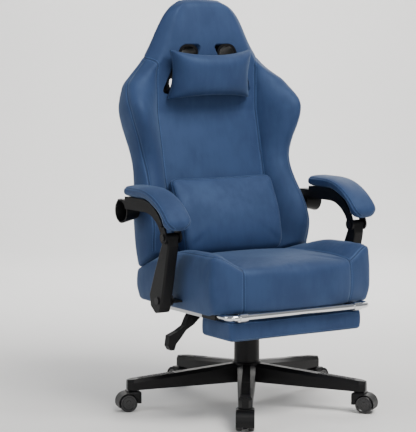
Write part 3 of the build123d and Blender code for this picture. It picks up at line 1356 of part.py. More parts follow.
def chair_parts():
    parts = {
        "star_base": star_base(),
        "foot_treads": foot_treads(),
        "caster_stems": caster_stems(),
        "gas_tube": gas_tube(),
        "cover_lower": column_sleeve(0),
        "cover_middle": column_sleeve(1),
        "cover_upper": cover_upper(),
        "gas_rod": gas_rod(),
        "tilt_tray": tilt_tray(),
        "mechanism_pins": mechanism_pins(),
        "tension_bolt": tension_bolt(),
        "tension_knob": tension_knob(),
        "lever_rod": lever_rod(),
        "lever_handle": lever_handle(),
        "seat_plate": seat_plate(),
        "seat_pan": seat_pan(),
        "seat_bolts": seat_bolts(),
        "seat_cushion": seat_cushion(),
        "post_brackets": post_brackets(),
        "recliner_plates": recliner_plates(),
        "recliner_pins": recliner_pins(),
        "recline_lever": recline_lever(),
        "footrest_rails": footrest_rails(),
        "rail_guides": rail_guides(),
        "footrest_tube": footrest_tube(),
        "tube_sliders": tube_sliders(),
        "footrest_pad": footrest_pad(),
        "footrest_board": footrest_board(),
        "back_frame": back_frame(),
        "arm_pivot_pins": arm_pivot_pins(),
        "back_cushion": back_cushion(),
        "opening_bezels": opening_bezels(),
        "lumbar_cushion": lumbar_cushion(),
        "head_pillow": head_pillow(),
        "head_strap": head_strap(),
    }
    hood = caster_hood()
    wheels = caster_wheels()
    axle = caster_axle()
    for i in range(LEG_COUNT):
        parts[f"caster_hood_{i + 1}"] = caster_place(i) * hood
        parts[f"caster_wheels_{i + 1}"] = caster_place(i) * wheels
        parts[f"caster_axle_{i + 1}"] = caster_place(i) * axle
    for side in SIDES:
        parts[f"arm_pad_{side}"] = arm_pad(side)
        parts[f"arm_plate_{side}"] = arm_plate(side)
        parts[f"arm_frame_{side}"] = arm_frame(side)
        parts[f"arm_pin_{side}"] = arm_pin(side)
        parts[f"arm_post_{side}"] = arm_post(side)
    return parts


os.makedirs("parts", exist_ok=True)
for node, shape in chair_parts().items():
    export_step(shape, f"parts/{node}.step")
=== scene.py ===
import json
from math import cos, pi, radians, sin
import bpy
import numpy as np
from mathutils import Matrix, Vector


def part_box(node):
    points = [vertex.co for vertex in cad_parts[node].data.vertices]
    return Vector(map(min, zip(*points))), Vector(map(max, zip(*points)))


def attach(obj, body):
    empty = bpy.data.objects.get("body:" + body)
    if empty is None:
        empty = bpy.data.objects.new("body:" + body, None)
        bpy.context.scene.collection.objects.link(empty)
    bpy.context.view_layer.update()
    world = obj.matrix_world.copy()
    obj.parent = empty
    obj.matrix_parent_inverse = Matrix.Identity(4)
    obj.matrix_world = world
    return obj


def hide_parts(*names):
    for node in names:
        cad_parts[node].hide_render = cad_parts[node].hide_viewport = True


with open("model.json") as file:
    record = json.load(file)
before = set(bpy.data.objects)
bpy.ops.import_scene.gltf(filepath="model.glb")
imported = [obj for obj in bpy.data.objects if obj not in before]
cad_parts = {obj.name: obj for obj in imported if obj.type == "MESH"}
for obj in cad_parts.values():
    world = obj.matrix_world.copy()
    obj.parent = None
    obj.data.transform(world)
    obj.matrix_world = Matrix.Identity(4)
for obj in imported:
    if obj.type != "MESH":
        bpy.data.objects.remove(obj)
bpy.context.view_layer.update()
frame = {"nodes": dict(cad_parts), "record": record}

# Sizes in millimetres, in the chair's frame: floor under the column, sitter facing -Y.
MM = 0.001
RECLINE = radians(13.0)
BACK_Y = 150.0
BACK_Z = 430.0
SEAT_FRONT = -270.0
TAIL_REAR = 195.0
SEAT_BOTTOM = 304.0
SEAT_TOP = 432.0
SEAT_HALF = 264.0
SEAT_SEAM = 177.0
ARM_X = 310.0
PILLOW_SLOPE = radians(11.26)
PILLOW_TIP = radians(8.0)


# Lines and grids
def along(keys, at):
    """Smooth line through (station, value) keys.

    Cubic pieces whose slopes are harmonic means of their neighbours, so nothing overshoots.
    """
    x, y = np.array(keys, float).T
    rise = np.diff(y) / np.diff(x)
    before = rise[:-1]
    after = rise[1:]
    total = np.where(before * after > 0, before + after, 1.0)
    inner = np.where(before * after > 0, 2 * before * after / total, 0.0)
    slope = np.concatenate([rise[:1], inner, rise[-1:]])
    at = np.clip(at, x[0], x[-1])
    i = np.clip(np.searchsorted(x, at, side="right") - 1, 0, len(x) - 2)
    span = x[i + 1] - x[i]
    t = (at - x[i]) / span
    r = 1 - t
    start = y[i] * (1 + 2 * t) + span * t * slope[i]
    end = y[i + 1] * (1 + 2 * r) - span * r * slope[i + 1]
    return start * r * r + end * t * t


def ease(low, high, at):
    """S-curve from 0 at low to 1 at high."""
    t = np.clip((at - low) / (high - low), 0, 1)
    return t * t * (3 - 2 * t)


def through(a, m, b, count):
    """Parabola through three points a, m, b, at count even steps that leave out b.

    The steps are a new axis before the last one.
    """
    t = (np.arange(count) / count)[:, None]
    a, m, b = a[..., None, :], m[..., None, :], b[..., None, :]
    return (1 - t) * (1 - 2 * t) * a + 4 * t * (1 - t) * m + t * (2 * t - 1) * b


def sheet_quads(rows, cols, wrap):
    """Quads of a rows x cols grid of points, joined round the columns if wrap."""
    index = np.arange(rows * cols).reshape(rows, cols)
    if wrap:
        index = np.concatenate([index, index[:, :1]], axis=1)
    corners = [index[:-1, :-1], index[:-1, 1:], index[1:, 1:], index[1:, :-1]]
    return np.stack(corners, axis=-1).reshape(-1, 4)


def ring_cap(cols, first):
    """Lid on a ring of points numbered from first.

    Strips between each point and its mirror, closed by a triangle at both ends.
    """
    i = np.arange(1, cols // 2 - 1)
    strips = first + np.stack([i, i + 1, cols - i - 1, cols - i], axis=1)
    half = cols // 2
    ends = [[first, first + 1, first + cols - 1], [first + half, first + half + 1, first + half - 1]]
    return strips.tolist() + ends


def flip(faces):
    """The same faces turned over."""
    return [face[::-1] for face in faces]


def tube_faces(rows, cols):
    """Faces of a tube of rings, joined round the columns and closed by a lid at each end."""
    skin = sheet_quads(rows, cols, True).tolist()
    return skin + flip(ring_cap(cols, 0)) + ring_cap(cols, (rows - 1) * cols)


def corner_loop(corners, count):
    """Closed line through corners, with count points along each side."""
    sides = zip(corners, np.roll(corners, -1, 0))
    return np.concatenate([np.linspace(start, end, count) for start, end in sides])


def signed_power(value, exponent):
    """Power that keeps the sign: it squares up a circle made of its cosine and sine."""
    return np.sign(value) * np.abs(value) ** exponent


def stops(marks, cell):
    """Grid stations from mark to mark, about one cell apart, that keep every mark."""
    runs = []
    for low, high in zip(marks, marks[1:]):
        runs.append(np.linspace(low, high, max(2, round((high - low) / cell) + 1))[:-1])
    return np.concatenate(runs + [[marks[-1]]])


def block_grid(xs, ys, zs):
    """Welded skin of a box: six grids on the box's faces, all facing out."""
    axes = [np.asarray(xs), np.asarray(ys), np.asarray(zs)]
    points = []
    quads = []
    count = 0
    for fixed in range(3):
        first, second = (fixed + 1) % 3, (fixed + 2) % 3
        for end in (0, -1):
            a, b = np.meshgrid(axes[first], axes[second], indexing="ij")
            face = np.empty(a.shape + (3,))
            face[..., first] = a
            face[..., second] = b
            face[..., fixed] = axes[fixed][end]
            turn = sheet_quads(*a.shape, False)
            # a grid runs second axis first, so its quads face the low end
            quads.append(count + (turn if end == 0 else turn[:, ::-1]))
            points.append(face.reshape(-1, 3))
            count += a.size
    points = np.concatenate(points)
    unique, back = np.unique(np.round(points, 5), axis=0, return_inverse=True)
    return unique, back.reshape(-1)[np.concatenate(quads)]


def rounded(points, low, high, radius):
    """Box skin with rounded edges: what lies outside the inner box is set at one radius from it."""
    radius = np.asarray(radius, float)
    inner = np.clip(points, low + radius, high - radius)
    away = (points - inner) / radius
    length = np.maximum(np.linalg.norm(away, axis=-1, keepdims=True), 1e-9)
    return inner + radius * away / length


def on_back(x, height, reach):
    """Chair point of a place on the back: across, up along the lean, and forward from it."""
    x, height, reach = np.broadcast_arrays(x, height, reach)
    y = BACK_Y + height * sin(RECLINE) - reach * cos(RECLINE)
    z = BACK_Z + height * cos(RECLINE) + reach * sin(RECLINE)
    return np.stack([x, y, z], axis=-1)


def resample(path, step=2.0):
    """Path with points one step apart along its length."""
    run = np.concatenate([[0], np.cumsum(np.linalg.norm(np.diff(path, axis=0), axis=1))])
    at = np.linspace(0, run[-1], max(3, int(run[-1] / step)))
    return np.stack([np.interp(at, run, path[:, k]) for k in range(3)], axis=-1)


# Meshes
SWELL_FRAMES = 20


def piece(name, points, faces):
    """Smooth-shaded object at the origin from millimetre points and faces."""
    mesh = bpy.data.meshes.new(name)
    mesh.from_pydata((points * MM).tolist(), [], [list(face) for face in faces])
    mesh.polygons.foreach_set("use_smooth", np.ones(len(mesh.polygons), bool))
    obj = bpy.data.objects.new(name, mesh)
    bpy.context.scene.collection.objects.link(obj)
    return obj


def coords(mesh):
    """The mesh's points in millimetres."""
    flat = np.empty(len(mesh.vertices) * 3)
    mesh.vertices.foreach_get("co", flat)
    return flat.reshape(-1, 3) / MM


def set_coords(mesh, points):
    """Moves the mesh's points to places in millimetres."""
    mesh.vertices.foreach_set("co", (points * MM).ravel())
    mesh.update()


def bake(obj):
    """Replaces the mesh by what its modifiers make of it."""
    graph = bpy.context.evaluated_depsgraph_get()
    mesh = bpy.data.meshes.new_from_object(obj.evaluated_get(graph))
    old = obj.data
    obj.modifiers.clear()
    obj.data = mesh
    mesh.name = obj.name
    bpy.data.meshes.remove(old)


def nearest(points, seams):
    """Distance of each point to the nearest seam sample, with that sample's number."""
    samples = np.concatenate(seams)
    best = np.empty(len(points))
    which = np.empty(len(points), int)
    for start in range(0, len(points), 4000):
        part = points[start:start + 4000]
        square = ((part[:, None, :] - samples[None]) ** 2).sum(-1)
        which[start:start + 4000] = square.argmin(1)
        best[start:start + 4000] = np.sqrt(square.min(1))
    return best, which


def swell(obj, held, pressure, cap):
    """Cloth under inner pressure for some frames: held points stay, no point moves further than cap."""
    scene = bpy.context.scene
    rest = coords(obj.data)
    group = obj.vertex_groups.new(name="held")
    group.add(np.flatnonzero(held).tolist(), 1.0, "REPLACE")
    cloth = obj.modifiers.new("swell", "CLOTH")
    cloth.settings.quality = 5
    cloth.settings.mass = 0.3
    cloth.settings.tension_stiffness = 15
    cloth.settings.compression_stiffness = 15
    cloth.settings.shear_stiffness = 8
    cloth.settings.bending_stiffness = 2
    cloth.settings.use_pressure = True
    cloth.settings.uniform_pressure_force = pressure
    cloth.settings.effector_weights.gravity = 0
    cloth.settings.vertex_group_mass = "held"
    cloth.collision_settings.use_collision = False
    cloth.point_cache.frame_start = 1
    cloth.point_cache.frame_end = SWELL_FRAMES
    for number in range(1, SWELL_FRAMES + 1):
        scene.frame_set(number)
    graph = bpy.context.evaluated_depsgraph_get()
    soft = obj.evaluated_get(graph).to_mesh()
    move = coords(soft) - rest
    obj.evaluated_get(graph).to_mesh_clear()
    obj.modifiers.remove(cloth)
    obj.vertex_groups.clear()
    length = np.maximum(np.linalg.norm(move, axis=1, keepdims=True), 1e-9)
    set_coords(obj.data, rest + move * np.minimum(1, cap / length))
    scene.frame_set(1)


def sew(obj, seams, depth, width):
    """Draws the cover in along its seams by a bell curve.

    Each point keeps its place by its seam as an attribute: across it, off it and along it.
    """
    mesh = obj.data
    points = coords(mesh)
    off, which = nearest(points, seams)
    samples = np.concatenate(seams)
    steps = [np.linalg.norm(np.diff(s, axis=0, prepend=s[:1]), axis=1) for s in seams]
    run = np.concatenate([np.cumsum(step) for step in steps])
    ahead = np.concatenate([np.gradient(s, axis=0) for s in seams])
    normal = np.empty(len(points) * 3)
    mesh.vertices.foreach_get("normal", normal)
    normal = normal.reshape(-1, 3)
    side = np.sign((np.cross(ahead[which], normal) * (points - samples[which])).sum(1))
    set_coords(mesh, points - normal * (depth * np.exp(-(off / width) ** 2))[:, None])
    place = np.stack([side * off, off, run[which]], axis=1) * MM
    mark = mesh.attributes.new("seam", "FLOAT_VECTOR", "POINT")
    mark.data.foreach_set("vector", place.ravel())


def finish_cushion(obj, seams, pressure, cap, hold=4.5, depth=2.2, width=5.0, cutters=(), rest=None):
    """Swells a cushion except along its seams and where it rests, smooths it, cuts it and sews it."""
    held = nearest(coords(obj.data), seams)[0] < hold
    if rest is not None:
        held |= rest
    swell(obj, held, pressure, cap)
    smooth = obj.modifiers.new("smooth", "SUBSURF")
    smooth.levels = 1
    smooth.render_levels = 1
    bake(obj)
    for cutter in cutters:
        cut = obj.modifiers.new("cut", "BOOLEAN")
        cut.operation = "DIFFERENCE"
        cut.solver = "EXACT"
        cut.object = cutter
        bake(obj)
        bpy.data.objects.remove(cutter)
    sew(obj, seams, depth, width)


# Back: half width, wing ridge, panel and rear face by height along the lean
BACK_HALF = [(-18, 275), (40, 281), (90, 279), (245, 259), (405, 291), (475, 270), (510, 236), (545, 200),
             (585, 172), (650, 138), (680, 118), (702, 95), (718, 66)]
WING = [(-18, 72), (65, 104), (245, 65), (390, 121), (475, 72), (530, 48), (620, 60), (690, 71), (718, 58)]
PANEL = [(398, 38), (610, 77), (670, 80), (706, 78), (718, 66)]
REAR = [(-18, -34), (75, -30), (398, -22), (475, -13), (540, -12), (590, -4), (650, 16), (706, 30),
        (718, 44)]
BACK_FOOT = -5.0
BACK_FOOT_ROUND = 13.0
BACK_LOW = BACK_FOOT - BACK_FOOT_ROUND
BACK_CROWN = 692.0
BACK_CROWN_ROUND = 26.0
BACK_TOP = BACK_CROWN + BACK_CROWN_ROUND
CROWN_ARCH = 4.0
CROWN_HELD = 690.0
HEAD_START = 525.0
PANEL_HALF = 167.0
PANEL_CROWN = 4.0
RIDGE_INSET = 24.0
CORNER_INSET = 26.0
CORNER_SET = 14.0
FOOT_SLANT = 0.23
FOOT_REACH = 72.0
SIDE_STEPS = 9
WING_STEPS = 14
PANEL_STEPS = 42
REAR_STEPS = 70
FRONT_STEPS = 2 * SIDE_STEPS + 2 * WING_STEPS + PANEL_STEPS


def back_heights():
    """Heights of the back's rings, closing up on a quarter circle at the foot and at the crown."""
    turn = np.linspace(0, pi / 2, 7)
    foot = BACK_FOOT - BACK_FOOT_ROUND * np.sin(turn[::-1])
    crown = BACK_CROWN + BACK_CROWN_ROUND * np.sin(turn)
    middle = np.linspace(BACK_FOOT, BACK_CROWN, 88)[1:-1]
    return np.concatenate([foot, middle, crown])


def back_rings():
    """Ring of parabolas at each height: side, wing ridge, panel seam, crowned panel, and the bowed rear.

    Neighbour means round the rings, most of all on the head, and the foot slants to lie level.
    """
    height = back_heights()
    low = np.clip((BACK_FOOT - height) / BACK_FOOT_ROUND, 0, 1)
    high = np.clip((height - BACK_CROWN) / BACK_CROWN_ROUND, 0, 1)
    full = np.sqrt(np.maximum(1 - (low + high) ** 2, 0.004))
    half = along(BACK_HALF, height) - 7 * (1 - full) * (low > 0)
    tip = along(WING, height)
    panel = along(PANEL, height) - PANEL_CROWN
    rear = along(REAR, height)
    squeeze = half / (half + 22)
    tip_x = half - RIDGE_INSET * squeeze
    rear_x = half - CORNER_INSET * squeeze
    seam = np.minimum(PANEL_HALF, tip_x * 0.8)
    edge = rear + CORNER_SET * squeeze
    waist = (edge + tip) / 2
    crease = 5 * ease(540, 490, height) * ease(2, 40, height)
    swelling = 7 + 5 * ease(520, 440, height)

    def at(x, reach):
        return np.stack([x, reach], axis=-1)

    mirror = np.array([-1.0, 1.0])
    side = at(half, waist)
    ridge = at(tip_x, tip)
    valley = at(seam, panel - crease)
    fall = at((tip_x + seam) / 2, (tip + panel) / 2 + swelling)
    middle = at(0 * half, panel + PANEL_CROWN)
    corner = at(rear_x, edge)
    to_ridge = at(half - 5 * squeeze, waist + 0.62 * (tip - waist))
    to_corner = at(half - 4 * squeeze, waist - 0.62 * (waist - edge))
    runs = [
        through(side, to_ridge, ridge, SIDE_STEPS),
        through(ridge, fall, valley, WING_STEPS),
        through(valley, middle, valley * mirror, PANEL_STEPS),
        through(valley * mirror, fall * mirror, ridge * mirror, WING_STEPS),
        through(ridge * mirror, to_ridge * mirror, side * mirror, SIDE_STEPS),
        through(side * mirror, to_corner * mirror, corner * mirror, SIDE_STEPS),
        through(corner * mirror, at(0 * half, rear), corner, REAR_STEPS),
        through(corner, to_corner, side, SIDE_STEPS),
    ]
    ring = np.concatenate(runs, axis=1)
    loose = np.ones(ring.shape[:2])
    valleys = [SIDE_STEPS + WING_STEPS, FRONT_STEPS - SIDE_STEPS - WING_STEPS]
    loose[:, valleys] = ease(HEAD_START, 560, height)[:, None]
    for _ in range(8):
        even = (np.roll(ring, 1, 1) + np.roll(ring, -1, 1)) / 2
        ring = ring + 0.5 * loose[..., None] * (even - ring)
    head = ease(HEAD_START, 590, height)[:, None, None]
    for _ in range(24):
        even = (np.roll(ring, 1, 1) + np.roll(ring, -1, 1)) / 2
        ring = ring + 0.5 * head * (even - ring)
    ring[..., 0] *= (half / np.abs(ring[..., 0]).max(1))[:, None]
    core = ((rear + panel) / 2)[:, None]
    reach = core + full[:, None] * (ring[..., 1] - core)
    slant = FOOT_SLANT * ease(80, BACK_LOW, height)[:, None] * (FOOT_REACH - reach)
    arch = CROWN_ARCH * ease(640, BACK_TOP, height)[:, None] * (1 - (ring[..., 0] / half[:, None]) ** 2)
    return on_back(ring[..., 0], height[:, None] - slant + arch, reach)


def grid_line(rings, rows, cols):
    """Points of a ring grid at fractional rows and columns, by bilinear mixing."""
    rows = np.clip(rows, 0, len(rings) - 1.001)
    r = np.floor(rows).astype(int)
    c = np.floor(cols).astype(int)
    fr = (rows - r)[:, None]
    fc = (cols - c)[:, None]
    count = rings.shape[1]
    low = rings[r, c % count] * (1 - fc) + rings[r, (c + 1) % count] * fc
    high = rings[r + 1, c % count] * (1 - fc) + rings[r + 1, (c + 1) % count] * fc
    return low * (1 - fr) + high * fr


# Openings for the strap, as (across, height), and slots for the hinge plates
OPENING = [(18, 585), (88, 585), (154, 448), (84, 448)]
OPENING_TURN = 20.0
OPENING_REACH = (-120, 200)
HINGE_X = 221.5
HINGE_HALF = 9.0
HINGE_RUN = (140, 205)


def opening_loop(side):
    """Slanted four-sided outline with each corner turned by a quadratic curve, as (across, height)."""
    corners = np.array(OPENING, float)
    before = np.roll(corners, 1, 0) - corners
    after = np.roll(corners, -1, 0) - corners
    start = corners + OPENING_TURN * before / np.linalg.norm(before, axis=1, keepdims=True)
    end = corners + OPENING_TURN * after / np.linalg.norm(after, axis=1, keepdims=True)
    t = np.linspace(0, 1, 9)[None, :, None]
    turn = (1 - t) ** 2 * start[:, None] + 2 * t * (1 - t) * corners[:, None] + t * t * end[:, None]
    return turn.reshape(-1, 2) * (side, 1)


def opening_cutter(side):
    """Prism of the opening's outline, carried right through the back."""
    loop = opening_loop(side)
    count = len(loop)
    ends = [on_back(loop[:, 0], loop[:, 1], reach) for reach in OPENING_REACH]
    order = list(range(2 * count))
    faces = sheet_quads(2, count, True).tolist() + [order[count - 1::-1], order[count:]]
    return piece("cutter", np.concatenate(ends), flip(faces) if side > 0 else faces)


def hinge_slot(side, low, high):
    """Box that clears the back's hinge plates beside the seat's tail."""
    middle = HINGE_X * side
    points, quads = block_grid([middle - HINGE_HALF, middle + HINGE_HALF], HINGE_RUN, [low, high])
    return piece("cutter", points, quads)


# Seams of the back: tops of the panel, ridge and rear seams, and the ridge seam's ring column by height
PANEL_SEAM_TOP = 515.0
NECK_RISE = 50.0
RIDGE_SEAM_TOP = 548.0
REAR_SEAM_TOP = 690.0
RIDGE_SEAM = [(0, 8.0), (190, 8.0), (300, 5.5), (380, 3.6), (548, 2.6)]


def back_shell():
    """The back's cover: ring grid closed at both ends, sewn along panel, neck, ridge and rear edges."""
    rings = back_rings()
    rows, cols = rings.shape[:2]
    obj = piece("back_cover", rings.reshape(-1, 3), flip(tube_faces(rows, cols)))
    height = back_heights()
    level = np.arange(rows)
    seam_col = SIDE_STEPS + WING_STEPS
    seams = []
    for sign in (1, -1):
        up = np.linspace(0, PANEL_SEAM_TOP, 260)
        row = np.interp(up, height, level)
        seams.append((row, np.full_like(row, seam_col)))
        t = np.linspace(0, 1, 60)
        row = np.interp(PANEL_SEAM_TOP + NECK_RISE * t ** 0.8, height, level)
        seams.append((row, seam_col * (1 - t ** 1.4) - 6 * t))
        up = np.linspace(0, RIDGE_SEAM_TOP, 240)
        row = np.interp(up, height, level)
        seams.append((row, along(RIDGE_SEAM, up)))
        up = np.linspace(0, REAR_SEAM_TOP, 300)
        row = np.interp(up, height, level)
        seams.append((row, np.full_like(row, -SIDE_STEPS + 1.0)))
        if sign < 0:
            seams[-4:] = [(r, FRONT_STEPS - c) for r, c in seams[-4:]]
    lines = [resample(grid_line(rings, r, c)) for r, c in seams]
    slots = [hinge_slot(side, 350, 403) for side in (1, -1)]
    crown = np.repeat(height > CROWN_HELD, cols)
    cutters = [opening_cutter(1), opening_cutter(-1)] + slots
    finish_cushion(obj, lines, pressure=3.0, cap=6.0, cutters=cutters, rest=crown)
    return obj


# Seat: the top's rise, the bolsters' rise and the sides' draw along Y, and the front's bow across
SEAT_LINE = [(-270, -4), (-222, -3), (-160, 0), (40, -3), (80, -8), (110, -18), (168, -56), (190, -70)]
BOLSTER = [(-270, 40), (-235, 38), (-190, 35), (-80, 33), (40, 12), (100, 4), (150, 14), (190, 22)]
SEAT_NARROW = [(-270, 0), (130, -2), (168, -6), (190, -14)]
SEAT_BOW = [(0, 0), (100, 2), (150, 11), (180, 19), (210, 26), (234, 32), (264, 38)]
SEAT_CROWN = 4.0
SEAT_HOLLOW = 13.0
SEAT_SKIRT = 7.0
SEAT_TAIL = 27.0
SEAT_RIM = 14.0
WELT_CORNER_X = 240.0
WELT_CORNER_Y = 26.0
WELT_REAR = 170.0


def seat_form(points):
    """Rounded block bent to the seat.

    Its middle is crowned, its bolsters rise at the sides, its front is bowed, its underside is hollow
    and the rear is drawn in between two tails.
    """
    low = np.array([-SEAT_HALF, SEAT_FRONT, SEAT_BOTTOM])
    high = np.array([SEAT_HALF, TAIL_REAR, SEAT_TOP])
    bolster = ease(160, 205, np.abs(points[:, 0]))
    roll = np.where(points[:, 2] > SEAT_BOTTOM + 60, 24 - 11 * bolster, 9)
    edge = 13 + 17 * ease(SEAT_BOTTOM + 12, SEAT_BOTTOM + 70, points[:, 2])
    p = rounded(points, low, high, np.stack([edge, 26 - 8 * bolster, roll], axis=-1))
    x, y, z = p.T
    across = np.abs(x)
    up = np.clip((z - SEAT_BOTTOM) / (SEAT_TOP - SEAT_BOTTOM), 0, 1)
    crown = SEAT_CROWN * (1 - np.clip(across / SEAT_SEAM, 0, 1) ** 2)
    hump = ease(164, 232 + 26 * ease(-200, -258, y), across)
    rise = along(SEAT_LINE, y) + crown + hump * along(BOLSTER, y)
    hollow = ease(258, 242, across) * ease(-256, -238, y) * ease(160, 142, y)
    skirt = SEAT_SKIRT * ease(240, 250, across) * ease(-262, -215, y) * (1 - ease(0, 0.4, up))
    new_z = z + up ** 1.5 * rise + SEAT_HOLLOW * hollow * (1 - up) ** 4 - skirt
    narrow = along(SEAT_NARROW, y)
    belly = 5 * np.sin(pi * up) - 6 * (1 - ease(0, 0.35, up))
    new_x = np.sign(x) * np.maximum(across + (narrow + belly - 3) * ease(120, 262, across), 0)
    front = ease(-140, -270, y)
    bow = along(SEAT_BOW, across)
    bulge = 4 * (1 - ease(0, 0.3, up)) - 3 * np.sin(pi * up)
    tail = SEAT_TAIL * (1 - ease(206, 229, across)) * ease(60, 189, y)
    return np.stack([new_x, y + front * (bow + bulge) - tail, new_z], axis=-1)


def seat_cushion():
    """The seat's cover: a bent box skin, sewn at the valleys, down the front and along the top edge."""
    xs = stops([-SEAT_HALF, -228, -SEAT_SEAM, 0, SEAT_SEAM, 228, SEAT_HALF], 8)
    ys = stops([SEAT_FRONT, SEAT_FRONT + 34, 120, TAIL_REAR], 8)
    zs = stops([SEAT_BOTTOM, SEAT_BOTTOM + 20, SEAT_TOP - 26, SEAT_TOP], 7)
    points, quads = block_grid(xs, ys, zs)
    obj = piece("seat_cover", seat_form(points), quads)
    turn = np.linspace(0, pi / 2, 20)
    round_x = WELT_CORNER_X + (SEAT_HALF - WELT_CORNER_X) * np.sin(turn)
    round_y = SEAT_FRONT + WELT_CORNER_Y * (1 - np.cos(turn))
    lines = []
    for side in (1, -1):
        down = np.linspace(SEAT_TOP, SEAT_BOTTOM + 2, 60)
        front = np.stack([0 * down + side * SEAT_SEAM, 0 * down + SEAT_FRONT, down], axis=-1)
        back = np.linspace(SEAT_FRONT, 150, 200)
        valley = np.stack([0 * back + side * SEAT_SEAM, back, 0 * back + SEAT_TOP], axis=-1)
        out = np.concatenate([np.linspace(SEAT_SEAM, WELT_CORNER_X, 40), round_x, np.full(160, SEAT_HALF)])
        sides = np.linspace(SEAT_FRONT + WELT_CORNER_Y, WELT_REAR, 160)
        far = np.concatenate([np.full(40, SEAT_FRONT), round_y, sides])
        welt = np.stack([side * out, far, 0 * far + SEAT_TOP], axis=-1)
        lines += [resample(seat_form(line)) for line in (front, valley, welt)]
    rim = points[:, 2] < SEAT_BOTTOM + SEAT_RIM
    slots = [hinge_slot(side, 330, 480) for side in (1, -1)]
    finish_cushion(obj, lines, pressure=3.0, cap=7.0, cutters=slots, rest=rim)
    return obj


# Black sheet under the seat board: the seat's dark underside, and painted shade in the gap above the footrest
# bar
UNDER_SHEET_HALF = 238.0
UNDER_SHEET_FRONT = -226.0
UNDER_SHEET_REAR = 132.0
UNDER_SHEET_LEVEL = 310.4
UNDER_SHEET_SAG = 0.5


def seat_underside_and_shade_sheet():
    """Thin black sheet stretched under the seat board, the seat's dark underside and partly painted shade in
    the gap above the footrest bar: a flat grid with a slight sag, given thickness.
    """
    across = np.linspace(-UNDER_SHEET_HALF, UNDER_SHEET_HALF, 40)
    back = np.linspace(UNDER_SHEET_FRONT, UNDER_SHEET_REAR, 30)
    x, y = np.meshgrid(across, back, indexing="ij")
    share_x = (x + UNDER_SHEET_HALF) / (2 * UNDER_SHEET_HALF)
    share_y = (y - UNDER_SHEET_FRONT) / (UNDER_SHEET_REAR - UNDER_SHEET_FRONT)
    sag = UNDER_SHEET_SAG * np.sin(pi * share_x) * np.sin(pi * share_y)
    points = np.stack([x, y, UNDER_SHEET_LEVEL - sag], axis=-1).reshape(-1, 3)
    obj = piece("seat_underside_and_shade_sheet", points, sheet_quads(*x.shape, False))
    thick = obj.modifiers.new("thick", "SOLIDIFY")
    thick.thickness = 0.0005
    thick.offset = 1.0
    return obj


# Lumbar cushion: its depth and its sides' spread by height from its foot
LUMBAR_HALF = 166.0
LUMBAR_RISE = 222.0
LUMBAR_FOOT = -21.0
LUMBAR_REACH = 39.0
LUMBAR_THICK = [(0, 44), (14, 56), (50, 66), (110, 62), (170, 45), (206, 34), (222, 29)]
LUMBAR_SPREAD = [(0, -9), (40, -1), (110, 2), (222, 5)]
LUMBAR_CROWN = 5.0
LUMBAR_SAG = 3.0


def lumbar_form(points):
    """Rounded block on the back's panel: flat behind, fullest low in front, drawn in at its top."""
    low = np.array([-LUMBAR_HALF, 0.0, 0.0])
    high = np.array([LUMBAR_HALF, LUMBAR_RISE, 1.0])
    foot = ease(60, 20, points[:, 1])
    p = rounded(points, low, high, np.stack([18 + 0 * foot, 24 - 12 * foot, 0.34 - 0.12 * foot], axis=-1))
    x, rise, deep = p.T
    thick = along(LUMBAR_THICK, rise)
    crown = LUMBAR_CROWN * (1 - np.clip(np.abs(x) / LUMBAR_HALF, 0, 1) ** 2)
    spread = along(LUMBAR_SPREAD, rise)
    wide = x + np.sign(x) * spread * ease(90, LUMBAR_HALF, np.abs(x))
    share = np.clip((x + LUMBAR_HALF) / (2 * LUMBAR_HALF), 0, 1)
    sag = -LUMBAR_SAG * np.sin(pi * share) * ease(150, LUMBAR_RISE, rise)
    return on_back(wide, LUMBAR_FOOT + rise + sag, LUMBAR_REACH + deep * (thick + crown * deep))


def lumbar_cushion():
    """The lumbar cushion's cover, sewn round its front and round its rear edge."""
    xs = stops([-LUMBAR_HALF, -142, 142, LUMBAR_HALF], 7)
    ups = stops([0, 26, 188, LUMBAR_RISE], 7)
    outs = np.linspace(0, 1, 10)
    points, quads = block_grid(xs, ups, outs)
    obj = piece("lumbar_cover", lumbar_form(points), quads)
    lines = []
    corners = np.array([(-1, 0), (1, 0), (1, 1), (-1, 1)]) * (LUMBAR_HALF, LUMBAR_RISE)
    loop = corner_loop(corners, 60)
    for share in (0.80, 0.12):
        line = np.concatenate([loop, np.full((len(loop), 1), share)], axis=1)
        lines.append(resample(lumbar_form(line)))
    behind = points[:, 2] < 0.05
    finish_cushion(obj, lines, pressure=3.0, cap=5.0, depth=1.6, width=4.0, rest=behind)
    return obj


# Head pillow
PILLOW_HEIGHT = 502.0
PILLOW_REACH = 61.0
PILLOW_HALF = 139.0
PILLOW_SHIFT = 3.0
PILLOW_DRAW = 0.12
PILLOW_TALL = 57.0
PILLOW_EAR = 15.0
PILLOW_RAISE = 2.0
PILLOW_END = 9.0
PILLOW_BEND = 29.0
PILLOW_FRONT = 35.0
PILLOW_BEHIND = 34.0
PILLOW_CLEAR = 4.0


def pillow_face(s, t, front):
    """Half of a pillow over s across and t up, both from -1 to 1.

    Its edges are drawn in between pinched corners, its depth is a bell, and its ends bend to the back.
    """
    lean = RECLINE - PILLOW_SLOPE - PILLOW_TIP
    x = PILLOW_HALF * s * (1 - PILLOW_DRAW * (1 - t ** 2) * np.abs(s)) - PILLOW_SHIFT
    raised = PILLOW_RAISE * (1 - s ** 2) * (1 - t ** 2)
    tall = t * (PILLOW_TALL + PILLOW_EAR * np.abs(s) ** 2.2) + raised
    bell = (1 - s ** 6) ** 0.5 * (1 - t ** 4) ** 0.46
    bent = PILLOW_END + PILLOW_BEND * (1 - s ** 2) ** 0.7
    out = bent + PILLOW_FRONT * bell if front else np.maximum(bent - PILLOW_BEHIND * bell, PILLOW_CLEAR)
    middle = on_back(0, PILLOW_HEIGHT, PILLOW_REACH)
    y = middle[1] - out * cos(lean) + tall * sin(lean)
    z = middle[2] + out * sin(lean) + tall * cos(lean)
    return np.stack([x, y, z], axis=-1)


